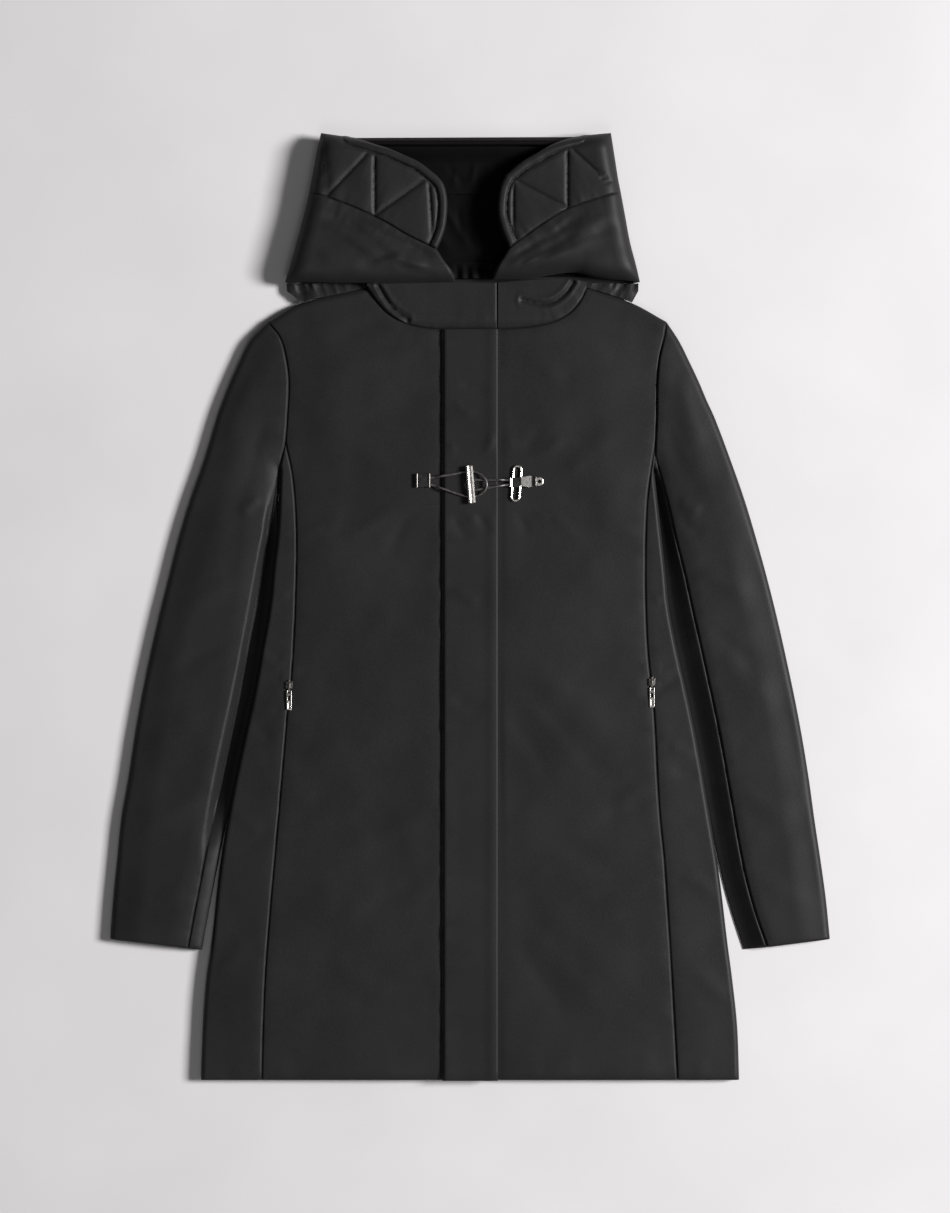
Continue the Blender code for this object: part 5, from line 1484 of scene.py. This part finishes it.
@dataclass
class HoodFlap(SidePart):
    """One loose flap of the hood: the quilted brim and the side panel under it.

    Attributes:
        seed: of its unevenness.
        puff: how much the brim swells between its quilting lines.
    """

    seed: int
    puff: float = 1.5

    def __post_init__(self) -> None:
        """Works out the flap's lines."""
        lines = FLAPS[self.side]
        self.seam = smooth(points_of(lines.seam))
        self.top = smooth(points_of(lines.top))
        self.front = smooth(points_of(lines.front))
        self.low_front = smooth(points_of(lines.side_front))
        self.hem = smooth(points_of(lines.hem))
        self.quilt = points_of(lines.quilt)
        self.rolled = join(smooth(points_of(lines.top[2:])), self.front)
        self.edge = smooth(line_of(HOOD_EDGE, self.side))

    def brim_relief(self, x: np.ndarray, y: np.ndarray) -> np.ndarray:
        """The quilting, the stitched roll at the free edge and the puckers of both.

        Args:
            x: the points' x.
            y: the points' y.

        Returns:
            The height at each point.
        """
        from_quilt, _, place = nearest_on(self.quilt, x, y)
        from_roll, _, roll_place = nearest_on(self.rolled, x, y)
        inside = smooth_step((from_roll - ROLL_INSET) / 6) * smooth_step(nearest_on(self.edge, x, y)[0] / 12)
        swell = self.puff * (1 - np.exp(-from_quilt / 6)) * inside
        quilted = -QUILT_DEPTH * np.exp(-(from_quilt / QUILT_WIDTH) ** 2) * inside
        drawn = noise(place, from_quilt * 0.2, 9.0, self.seed) * np.exp(-from_quilt / 7) * inside * 0.25
        stitched = -1.6 * np.exp(-((from_roll - ROLL_INSET) / 1.2) ** 2)
        roll = 1.9 * np.sqrt(np.maximum(0.0, 1 - (from_roll / ROLL_INSET * 2 - 1) ** 2))
        near_roll = np.exp(-np.abs(from_roll - 7) / 6)
        ruckle = 0.45 * noise(roll_place, from_roll * 0.2, 8.0, self.seed + 1) * near_roll
        return (0.4 + swell + quilted + drawn + stitched + roll + ruckle
                + 0.7 * wander(x * 1.7, y * 1.7, self.seed)
                + seam_relief(x, y, self.seam, self.seed + 4, 0.7))

    def side_relief(self, x: np.ndarray, y: np.ndarray) -> np.ndarray:
        """The folds of the side panel."""
        return (1.0 + fold_relief(x, y, HOOD_FOLDS) + fold_relief(x, y, HOOD_CREASES, 0.3)
                + wander(x * 1.6, y * 1.6, self.seed + 8)
                + seam_relief(x, y, self.seam, self.seed + 5, 0.7))

    def panel(self, node: str, corners: Sides, relief: Relief, rounds: list[RoundEdge], free: list[Line],
              low_round: bool) -> Panel:
        """A panel of the flap, its four sides given as on the image's left side.

        Args:
            node: the solid that it stands for.
            corners: its sides, the outer edge first.
            relief: height added to its outer face.
            rounds: edges where it rolls over.
            free: edges where it ends.
            low_round: whether it rolls under at its bottom.

        Returns:
            The panel.
        """
        low_steps = HOOD_STEPS if low_round else SEAM_STEPS
        return Panel(node, self.ordered(corners), Layer.UPPER, rounds=rounds, free=free, seams=[self.seam],
                     relief=relief, lift=hood_lift, radius=HOOD_RADIUS, step=FINE_STEP,
                     steps=(*self.across(HOOD_STEPS, SEAM_STEPS), low_steps, SEAM_STEPS))

    def build(self) -> list[bpy.types.Object]:
        """Builds the brim and the side panel."""
        rounds = hood_rounds()
        split = int(np.argmin(np.abs(self.edge[:, 1] - self.seam[0][1])))
        high, low = self.edge[:split + 1], self.edge[split:]
        brim = self.panel("hood_brim_" + self.side.wearer,
                          Sides(high[::-1], self.front[::-1], self.seam, self.top), self.brim_relief,
                          rounds, [self.rolled], False)
        side = self.panel("hood_side_" + self.side.wearer,
                          Sides(low[::-1], self.low_front[::-1], self.hem, self.seam), self.side_relief,
                          rounds + [RoundEdge(self.hem, HOOD_RADIUS)], [self.low_front], True)
        pieces = [panel.build(self.wardrobe.twill, "twill") for panel in (brim, side)]
        inset = self.inset_line()
        lines = [inset] + [self.quilt[k:k + 2] for k in range(len(self.quilt) - 1)]
        name = "hood_brim_" + self.side.wearer + "_stitches"
        pieces.append(Stitches(self.wardrobe).sew(name, pieces[0], lines))
        return pieces

    def inset_line(self) -> Line:
        """The stitched line inside the rolled edge."""
        run = np.gradient(self.rolled, axis=0)
        square = np.stack([run[:, 1], -run[:, 0]], axis=1) / np.linalg.norm(run, axis=1)[:, None]
        return (self.rolled + self.side.sign * ROLL_INSET * square)[4:-4]


@dataclass
class HoodInside:
    """What the hood's opening shows on its two back panels: the lining, the facing and the gathered neck.

    Attributes:
        wardrobe: the materials.
        edge_y: where the facing meets the rolled edge.
        gather: left, right, bottom and top of the elastic gathers.
        waves: how many there are.
        seed: of its unevenness.
    """

    wardrobe: Wardrobe
    edge_y: float = 460.3
    gather: tuple[float, float, float, float] = (-24.0, 32.0, 328.7, 346.0)
    waves: int = 5
    seed: int = 311

    def box_sides(self, left: float, right: float, bottom: float, top: float) -> Sides:
        """The four sides of an upright rectangle."""
        return Sides(straight((left, bottom), (left, top)), straight((right, bottom), (right, top)),
                     straight((left, bottom), (right, bottom)), straight((left, top), (right, top)))

    def slab(self, node: str, sides: Sides, base: float, thickness: float, relief: Relief,
             lift: Relief | None = None) -> bpy.types.Object:
        """A layer of lining that lies on what is under it.

        Args:
            node: the solid that it stands for.
            sides: its four sides.
            base: height of what it lies on.
            thickness: of the layer.
            relief: height added to its upper face.
            lift: height added to both faces.

        Returns:
            The piece.
        """
        panel = Panel(node, sides, Layer.UPPER, radius=(base + thickness) / 2, wall=thickness, relief=relief,
                      lift=lift, step=1.7)
        return panel.build(self.wardrobe.lining, "lining")

    def lining_folds(self, x: np.ndarray, y: np.ndarray) -> np.ndarray:
        """Soft folds that hang from the seam and run to the gathers."""
        return fold_relief(x, y, LINING_FOLDS, 0.3) + 0.5 * wander(x * 2, y * 2, self.seed)

    def facing_rise(self, x: np.ndarray, y: np.ndarray) -> np.ndarray:
        """The facing lies a little proud of the lining and rises to the rolled edge."""
        return 1.6 + 8.6 * smooth_step((y - self.edge_y) / 18 + 1)

    def facing_folds(self, x: np.ndarray, y: np.ndarray) -> np.ndarray:
        """The facing's creases, which run from the quilting."""
        return fold_relief(x, y, FACING_FOLDS, 0.3) + 0.4 * wander(x * 2, y * 2, self.seed + 4)

    def ruffle(self, x: np.ndarray, y: np.ndarray) -> np.ndarray:
        """The gathers, high at the neckline.

        Args:
            x: the points' x.
            y: the points' y.

        Returns:
            The height at each point.
        """
        left, right, _, top = self.gather
        phase = (x - left) / (right - left) * 2 * math.pi * self.waves + 0.5 * noise(y, x, 9.0, self.seed)
        waves = 1.6 * np.sin(phase - 1.3)
        return (1.6 + waves) * smooth_step((top - 1 - y) / 12) + 2.0 * smooth_step((top - 6 - y) / 10)

    def build(self) -> list[bpy.types.Object]:
        """Builds the five pieces."""
        rounds = hood_rounds()
        edges = [line_of(HOOD_EDGE, side) for side in Side]
        low, high = [smooth(edge[4:])[::-1] for edge in edges], [smooth(edge[:5])[::-1] for edge in edges]
        seam = straight(low[0][-1], low[1][-1])
        bottom = straight(low[0][0], low[1][0])
        ends = (HOOD_STEPS, HOOD_STEPS)
        centre = Panel("hood_centre", Sides(low[0], low[1], bottom, seam), Layer.LOWER, rounds=rounds,
                       radius=HOOD_RADIUS, step=7.0, steps=(*ends, SEAM_STEPS, SEAM_STEPS))
        brim = Panel("hood_brim_top", Sides(high[0], high[1], seam, rounds[2].line), Layer.LOWER,
                     rounds=rounds, radius=HOOD_RADIUS, step=6.0, steps=(*ends, SEAM_STEPS, HOOD_STEPS))
        pieces = [panel.build(self.wardrobe.twill, "twill") for panel in (centre, brim)]
        floor = CLOTH + SEAM
        lining, facing = self.box_sides(-135, 122, 331, 413), self.box_sides(-120, 110, 413.4, self.edge_y)
        pieces.append(self.slab("hood_lining", lining, floor, 2.0, self.lining_folds))
        pieces.append(self.slab("hood_facing", facing, floor, 2.4, self.facing_folds, self.facing_rise))
        pieces.append(self.slab("hood_neck_gather", self.box_sides(*self.gather), floor + 2.0 + SEAM, 2.6,
                                self.ruffle))
        return pieces


@dataclass
class HoodBase(SidePart):
    """The gathers on one side, where the hood turns under towards the neckline.

    Attributes:
        seed: of its unevenness.
        high: its upper end.
        fullness: how much wider its cloth is than its place.
        floor: height of its underside.
    """

    seed: int
    high: float = BASE_TOP
    fullness: float = 1.5
    floor: float = 6.5

    def build(self) -> list[bpy.types.Object]:
        """Builds the gathered strip."""
        sign = self.side.sign
        outer_x, inner_x, low_x = HOOD_BASE_X[self.side]
        shoulder = smooth(line_of(SHOULDER, self.side))
        order = np.argsort(shoulder[:, 0])
        across = np.linspace(low_x, inner_x, 24)
        bottom = np.stack([across, np.interp(across, shoulder[order, 0], shoulder[order, 1]) + SEAM], axis=1)
        outer = np.array([bottom[0], (outer_x, 317.0), (outer_x, self.high)])
        inner = straight(bottom[-1], (inner_x, self.high))
        top = straight((outer_x, self.high), (inner_x, self.high))
        sides = self.ordered(Sides(outer, inner, bottom, top))
        panel = Panel("hood_base_" + self.side.wearer, sides, Layer.UPPER, step=1.3)
        plan = panel.plan()
        x, y = plan[..., 0], plan[..., 1]
        rise = smooth_step(nearest_on(shoulder, x, y)[0] / 12)
        lean = x + (y - self.high) * 0.35 * sign
        waves = 1.3 * noise(lean, y * 0.15, 7.5, self.seed) + 0.7 * noise(lean, y * 0.3, 3.6, self.seed + 1)
        outer_z = np.maximum(10.2 - 2.0 * rise + 1.8 * waves * (0.4 + 0.6 * rise), 7.1)
        low_z = np.full_like(x, self.floor)
        piece = cloth_mesh(panel.node + "_cloth", np.dstack([plan, outer_z]), np.dstack([plan, low_z]))
        dress(piece, panel.node, self.wardrobe.twill)
        declare_sheet(sides, plan_area(sides) * self.fullness, self.fullness)
        return [piece]


# ---------------------------------------------------------------- cords

def tube_mesh(name: str, path: np.ndarray, radius: float, sides: int = 14) -> bpy.types.Object:
    """A round tube along a path in millimetres.

    Args:
        name: of the object.
        path: its middle line.
        radius: of the tube.
        sides: faces round it.

    Returns:
        The tube.
    """
    run = np.gradient(path, axis=0)
    run /= np.linalg.norm(run, axis=1)[:, None]
    across = np.cross(run, np.array([0.0, 0.0, 1.0]))
    across /= np.linalg.norm(across, axis=1)[:, None]
    upward = np.cross(across, run)
    angles = np.linspace(0, 2 * math.pi, sides, endpoint=False)
    rings = (path[:, None] + radius * (np.cos(angles)[None, :, None] * across[:, None]
                                       + np.sin(angles)[None, :, None] * upward[:, None]))
    count = len(path)
    faces = []
    for i in range(count - 1):
        for k in range(sides):
            j = (k + 1) % sides
            faces.append((i * sides + k, i * sides + j, (i + 1) * sides + j, (i + 1) * sides + k))
    faces += [tuple(range(sides)), tuple(range((count - 1) * sides, count * sides))]
    return closed_mesh(name, rings.reshape(-1, 3), faces, SHARP_CORD)


def even(path: np.ndarray, step: float) -> np.ndarray:
    """A path in equal steps."""
    length = along(path)[-1]
    return at_distance(path, np.linspace(0, length, max(2, round(length / step)) + 1))


@dataclass
class ToggleCords:
    """The leather loop on the right front and the leather cord that holds the bar.

    Attributes:
        wardrobe: the materials.
        diameter: of both cords.
        step: from one point of a cord's route to the next.
    """

    wardrobe: Wardrobe
    diameter: float = 2.4
    step: float = 1.1

    def routes(self) -> dict[str, np.ndarray]:
        """The middle lines, at the heights of what the cords lie on."""
        half = self.diameter / 2
        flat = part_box("toggle_bar")[0][2] / MM - SEAM - half
        cross = flat + self.diameter + SEAM
        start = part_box("toggle_tab")[0][2] / MM + 1.7
        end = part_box("cord_clamp")[0][2] / MM + 2.4
        loop = [(-39.4, 129, start), (-35, 129.6, start + 0.4), (-29, 130.6, flat - 0.2),
                (-24, 131.4, flat + 0.2), (-15, 133, flat), (-4, 135.2, flat), (3, 135.2, flat),
                (9.5, 133, flat + 1.2),
                (14.5, 128.6, cross), (16.8, 122.5, cross + 0.1), (14.8, 116.2, cross),
                (9.5, 111.8, flat + 1.2), (3, 110.3, flat), (-5, 110.9, flat), (-15, 113.8, flat),
                (-24, 117, flat + 0.2), (-29, 118.7, flat - 0.2), (-35, 120.8, start + 0.4),
                (-39.4, 122.4, start)]
        bar = [(39.0, 126.9, end), (35, 126.9, end + 0.4), (29.5, 126.9, flat + 0.1), (24, 126.8, flat + 0.2),
               (16, 126.8, flat), (6, 127, flat), (0, 126.6, flat), (-3.4, 124.9, flat), (-4.7, 121.9, flat),
               (-3.4, 118.9, flat), (0, 117.2, flat), (6, 117, flat), (16, 118.6, flat),
               (24, 120, flat + 0.2), (29.5, 120.9, flat + 0.1), (35, 121.8, end + 0.4), (39.0, 122.2, end)]
        return {"toggle_loop": np.array(loop, float), "bar_cord": np.array(bar, float)}

    def build(self) -> list[bpy.types.Object]:
        """Builds both cords."""
        pieces = []
        for node, route in self.routes().items():
            path = even(smooth(route), self.step)
            piece = tube_mesh(node + "_leather", path, self.diameter / 2)
            # The cords take the lighter copy of the leather: painted highlight.
            dress(piece, node, self.wardrobe.highlit_cord_leather)
            pieces.append(piece)
        return pieces


# ---------------------------------------------------------------- hardware

@dataclass
class Hardware:
    """The hard pieces of the toggle that keep their solids, with their finishes.

    Attributes:
        wardrobe: the materials.
    """

    wardrobe: Wardrobe

    def build(self) -> list[bpy.types.Object]:
        """Dresses the solids."""
        looks = self.wardrobe
        # The clamps take the darker copy of the plate: painted shade on them.
        finishes = {
            "toggle_tab": looks.leather, "ring_wrap": looks.leather, "hook_band": looks.dark_steel,
            "cord_clamp": looks.steel, "toggle_bar": looks.steel, "toggle_ring": looks.steel,
            "toggle_hook": looks.steel, "tab_clamp_outer": looks.shade_painted, "tab_clamp_inner": looks.shade_painted,
        }
        pieces = []
        for name, material in finishes.items():
            node = bpy.data.objects[name]
            for place in node.material_slots:
                place.material = material
            pieces.append(node)
        return pieces


def plate(name: str, columns: Sequence[float], rows: Sequence[float], high: float) -> bpy.types.Object:
    """A flat plate cut into cells, for modelling, left in edit mode with nothing selected.

    Args:
        name: of the object.
        columns: its x lines.
        rows: its y lines.
        high: height of its upper face.

    Returns:
        The plate's upper face, in millimetres.
    """
    across, up = len(columns) - 1, len(rows) - 1
    bpy.ops.mesh.primitive_grid_add(x_subdivisions=across, y_subdivisions=up, size=2)
    piece = bpy.context.object
    piece.name = piece.data.name = name
    for vertex in piece.data.vertices:
        column, row = round((vertex.co.x + 1) / 2 * across), round((vertex.co.y + 1) / 2 * up)
        vertex.co = (columns[column], rows[row], high)
    bpy.ops.object.mode_set(mode="EDIT")
    bpy.ops.mesh.select_mode(type="FACE")
    bpy.ops.mesh.select_all(action="DESELECT")
    return piece


def select_cells(piece: bpy.types.Object, cells: Sequence[tuple[float, float]]) -> None:
    """Selects the upward faces over some places, alone.

    Args:
        piece: the plate.
        cells: x and y of a place in each.
    """
    work = bmesh.from_edit_mesh(piece.data)
    for face in work.faces:
        centre = face.calc_center_median()
        reach = [max(abs(v.co[k] - centre[k]) for v in face.verts) for k in (0, 1)]
        face.select = face.normal.z > 0.9 and any(
            abs(x - centre.x) < reach[0] and abs(y - centre.y) < reach[1] for x, y in cells)
    work.select_flush_mode()
    bmesh.update_edit_mesh(piece.data)


def thicken(piece: bpy.types.Object, cells: Sequence[tuple[float, float]], depth: float) -> None:
    """Cuts some cells out of a plate's upper face and gives the rest a thickness.

    Args:
        piece: the plate.
        cells: x and y of a place in each cell that is cut out.
        depth: how far its underside moves, below zero.
    """
    select_cells(piece, cells)
    bpy.ops.mesh.delete(type="FACE")
    bpy.ops.mesh.select_all(action="SELECT")
    bpy.ops.mesh.extrude_region_move(TRANSFORM_OT_translate={"value": (0, 0, depth)})
    bpy.ops.mesh.select_all(action="SELECT")
    bpy.ops.mesh.normals_make_consistent(inside=False)


def finish_plate(piece: bpy.types.Object, bevel: float) -> None:
    """Rounds a plate's edges, turns it into metres and shades it.

    Args:
        piece: the plate.
        bevel: rounding of its edges, in mm.
    """
    bpy.ops.mesh.select_all(action="SELECT")
    bpy.ops.mesh.normals_make_consistent(inside=False)
    bpy.ops.object.mode_set(mode="OBJECT")
    edge = piece.modifiers.new("soft_edges", "BEVEL")
    edge.width, edge.segments = bevel, 3
    edge.limit_method, edge.angle_limit = "ANGLE", math.radians(SHARP_PLATE)
    bpy.ops.object.modifier_apply(modifier=edge.name)
    for vertex in piece.data.vertices:
        vertex.co *= MM
    bpy.ops.object.shade_smooth_by_angle(angle=math.radians(SHARP_PLATE))


@dataclass
class Zip(SidePart):
    """The slider and the pull tab of a pocket zip.

    Attributes:
        recess: depth of the tab's sunk panel, in mm.
        bevel: rounding of its edges, in mm.
        tab_columns: the tab's lines across, from its middle.
        tab_rows: its lines along, down from its hinge end.
        slider_columns: the slider's lines across, from its middle.
        slider_rows: its lines along, down from its upper end.
        slider_body: thickness of the slider below its bridge.
    """

    recess: float = 0.4
    bevel: float = 0.18
    tab_columns: Sequence[float] = (-2.6, -1.2, 1.2, 2.6)
    tab_rows: Sequence[float] = (19.9, 18.4, 11.6, 10.4, 5.4, 3.3, 0.35)
    slider_columns: Sequence[float] = (-3.2, -1.0, 1.0, 3.2)
    slider_rows: Sequence[float] = (12.2, 8.6, 3.6, 1.5, 0.0)
    slider_body: float = 1.2

    def tab(self) -> bpy.types.Object:
        """The pull tab, with its fork, its slot and its sunk panel."""
        node = "zip_pull_" + self.side.wearer
        low, high = (np.array(corner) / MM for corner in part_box(node))
        middle, top = (low[0] + high[0]) / 2, high[1]
        piece = plate(node + "_metal", [middle + d for d in self.tab_columns],
                      [top - d for d in self.tab_rows], high[2])
        thicken(piece, [(middle, top - 7.9), (middle, top - 1.6)], low[2] - high[2])
        select_cells(piece, [(middle, top - 15.0)])
        bpy.ops.mesh.inset(thickness=0.3)
        bpy.ops.transform.translate(value=(0, 0, -self.recess))
        finish_plate(piece, self.bevel)
        return piece

    def slider(self) -> bpy.types.Object:
        """The slider's body, waisted below, with the raised bridge that holds the tab."""
        node = "zip_slider_" + self.side.wearer
        low, high = (np.array(corner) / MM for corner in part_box(node))
        middle, top = (low[0] + high[0]) / 2, high[1]
        body = low[2] + self.slider_body
        piece = plate(node + "_metal", [middle + d for d in self.slider_columns],
                      [top - d for d in self.slider_rows], body)
        thicken(piece, [(middle + d, top - down) for down in (10.4, 0.7) for d in (-2.1, 2.1)], low[2] - body)
        select_cells(piece, [(middle, top - 6.1)])
        bpy.ops.mesh.extrude_region_move(TRANSFORM_OT_translate={"value": (0, 0, high[2] - body)})
        finish_plate(piece, self.bevel)
        return piece

    def build(self) -> list[bpy.types.Object]:
        """Builds the tab and the slider."""
        tab, slider = self.tab(), self.slider()
        dress(tab, "zip_pull_" + self.side.wearer, self.wardrobe.steel)
        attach(tab, "pull_tab_" + self.side.wearer)
        # The slider takes the darker copy of the plate: painted shade on it.
        dress(slider, "zip_slider_" + self.side.wearer, self.wardrobe.shade_painted)
        return [tab, slider]


@dataclass
class Stitches:
    """Rows of short stitches, sunk in the lines that they draw down.

    Attributes:
        wardrobe: the materials.
        pitch: from one to the next, in mm.
        length: of each, in mm.
        thick: thickness of the thread, in mm. The real one is 0.3 mm and is drawn thicker to show.
        shape: where a stitch is measured, from its start (0) to its end (1), and its share of thickness.
    """

    wardrobe: Wardrobe
    pitch: float = 3.2
    length: float = 2.3
    thick: float = 0.5
    shape: Sequence[tuple[float, float]] = ((0.0, 0.4), (0.2, 1.0), (0.8, 1.0), (1.0, 0.4))

    def sew(self, name: str, cloth: bpy.types.Object, lines: Sequence[Line]) -> bpy.types.Object:
        """Sews along the lines on a piece of cloth.

        Args:
            name: of the stitches.
            cloth: the piece that they lie on.
            lines: where, in the plan.

        Returns:
            The stitches, in one object.
        """
        vertices, polygons = cloth.data.vertices, cloth.data.polygons
        ground = BVHTree.FromPolygons([v.co for v in vertices], [p.vertices for p in polygons])
        down = Vector((0, 0, -1))
        points, faces = [], []
        for line in lines:
            length = along(line)[-1]
            for place in np.arange(self.pitch / 2, length - self.pitch / 2, self.pitch):
                ends = at_distance(line, np.array([place - self.length / 2, place + self.length / 2]))
                hits = [ground.ray_cast(Vector((x * MM, y * MM, 0.1)), down)[0] for x, y in ends]
                if None not in hits:
                    faces += self.stitch_faces(len(points))
                    points += self.stitch_points(np.array(hits[0]) / MM, np.array(hits[1]) / MM)
        piece = closed_mesh(name, points, faces, None)
        piece.data.materials.append(self.wardrobe.thread)
        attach(piece, "root")
        return piece

    def stitch_points(self, start: np.ndarray, end: np.ndarray) -> list[tuple[float, float, float]]:
        """The rings of one stitch, which is thinner at its ends.

        Args:
            start: where it comes up.
            end: where it goes down.

        Returns:
            Its points.
        """
        run = (end - start) / np.linalg.norm(end - start)
        across = np.cross(run, (0, 0, 1.0))
        upward = np.cross(across, run)
        rings = []
        for share, size in self.shape:
            middle = start + share * (end - start) + upward * self.thick * 0.3 * size
            rings += [tuple(middle + self.thick / 2 * size * (math.cos(a) * across + math.sin(a) * upward))
                      for a in np.linspace(0, 2 * math.pi, ROUND_RING, endpoint=False)]
        return rings

    def stitch_faces(self, first: int) -> list[tuple[int, ...]]:
        """The faces round one stitch and over its ends.

        Args:
            first: number of its first point.

        Returns:
            The faces.
        """
        last = first + (len(self.shape) - 1) * ROUND_RING
        faces = []
        for ring in range(first, last, ROUND_RING):
            faces += [(ring + k, ring + (k + 1) % ROUND_RING, ring + ROUND_RING + (k + 1) % ROUND_RING,
                       ring + ROUND_RING + k) for k in range(ROUND_RING)]
        return faces + [tuple(ring + k for k in range(ROUND_RING)) for ring in (first, last)]


@dataclass
class RolledTop:
    """The rolled edge of the brim along the top of the opening.

    Attributes:
        wardrobe: the materials.
        radius: of the roll.
        height: of its middle.
    """

    wardrobe: Wardrobe
    radius: float = 2.8
    height: float = 22.0

    def build(self) -> list[bpy.types.Object]:
        """Builds the roll."""
        line = np.array([(-106.0, 463.4, self.height), (94.0, 463.8, self.height)])
        piece = tube_mesh("hood_edge_top_cloth", even(line, 3.0), self.radius)
        dress(piece, "hood_edge_top", self.wardrobe.binding)
        return [piece]


# ---------------------------------------------------------------- studio

@dataclass
class Studio:
    """The camera above the coat, the paper it lies on and the soft lights.

    Attributes:
        focus: the middle of the view and the height that the scale is taken at, in metres.
        reach: length of the view's long side there.
        lens: focal length in mm.
        film: long side of the film in mm.
        paper: side of the paper, in metres.
        room: colour of the room's faint light.
        room_strength: how strong that is.
    """

    focus: tuple[float, float, float] = (0.005, 0.0005, 0.017)
    reach: float = 1.213
    lens: float = 100.0
    film: float = 36.0
    paper: float = 5.0
    room: str = "#dcdcde"
    room_strength: float = 0.16

    def camera(self) -> None:
        """Hangs the camera straight above the coat."""
        data = bpy.data.cameras.new("camera")
        data.lens, data.sensor_width = self.lens, self.film
        camera = add_object("camera", data)
        x, y, z = self.focus
        camera.location = (x, y, z + self.reach * self.lens / self.film)
        bpy.context.scene.camera = camera

    def floor(self) -> None:
        """Lays the paper."""
        half = self.paper / 2
        mesh = bpy.data.meshes.new("paper")
        corners = [(-half, -half, 0), (half, -half, 0), (half, half, 0), (-half, half, 0)]
        mesh.from_pydata(corners, [], [(0, 1, 2, 3)])
        mesh.materials.append(FloorFinish().make())
        sheet = add_object("paper", mesh)

    def lights(self) -> None:
        """Hangs the soft boxes, the key to the right and a faint fill below the hem, and lights the room."""
        for light in LIGHTS:
            data = bpy.data.lights.new(light.name, "AREA")
            data.shape, data.size, data.energy = "SQUARE", light.size, light.power
            lamp = add_object(light.name, data)
            lamp.location = light.place
            lamp.rotation_euler = (-Vector(light.place)).to_track_quat("-Z", "Y").to_euler()
        world = bpy.data.worlds.new("room")
        world.use_nodes = True
        background = world.node_tree.nodes["Background"]
        background.inputs["Color"].default_value = linear(self.room)
        background.inputs["Strength"].default_value = self.room_strength
        bpy.context.scene.world = world
        bpy.context.scene.view_settings.view_transform = "Standard"

    def build(self) -> None:
        """Sets up the whole studio."""
        self.camera()
        self.floor()
        self.lights()


def main() -> None:
    """Builds the coat, camera and cords first."""
    logging.basicConfig(level=logging.INFO, format="%(name)s: %(message)s")
    Studio().build()
    wardrobe = Wardrobe()
    parts = [ToggleCords(wardrobe), Back(wardrobe), Placket(wardrobe), HoodInside(wardrobe),
             RolledTop(wardrobe), Hardware(wardrobe), *(Zip(side, wardrobe) for side in Side)]
    for number, side in enumerate(Side):
        parts += [Front(side, wardrobe, 11 + 40 * number), Sleeve(side, wardrobe, 23 + 40 * number),
                  Neckband(side, wardrobe, 131 + number), HoodFlap(side, wardrobe, 211 + 20 * number),
                  HoodBase(side, wardrobe, 401)]
    for part in parts:
        for piece in part.build():
            LOG.info("%s: %s is in place", type(part).__name__, piece.name)


if __name__ == "__main__":
    main()
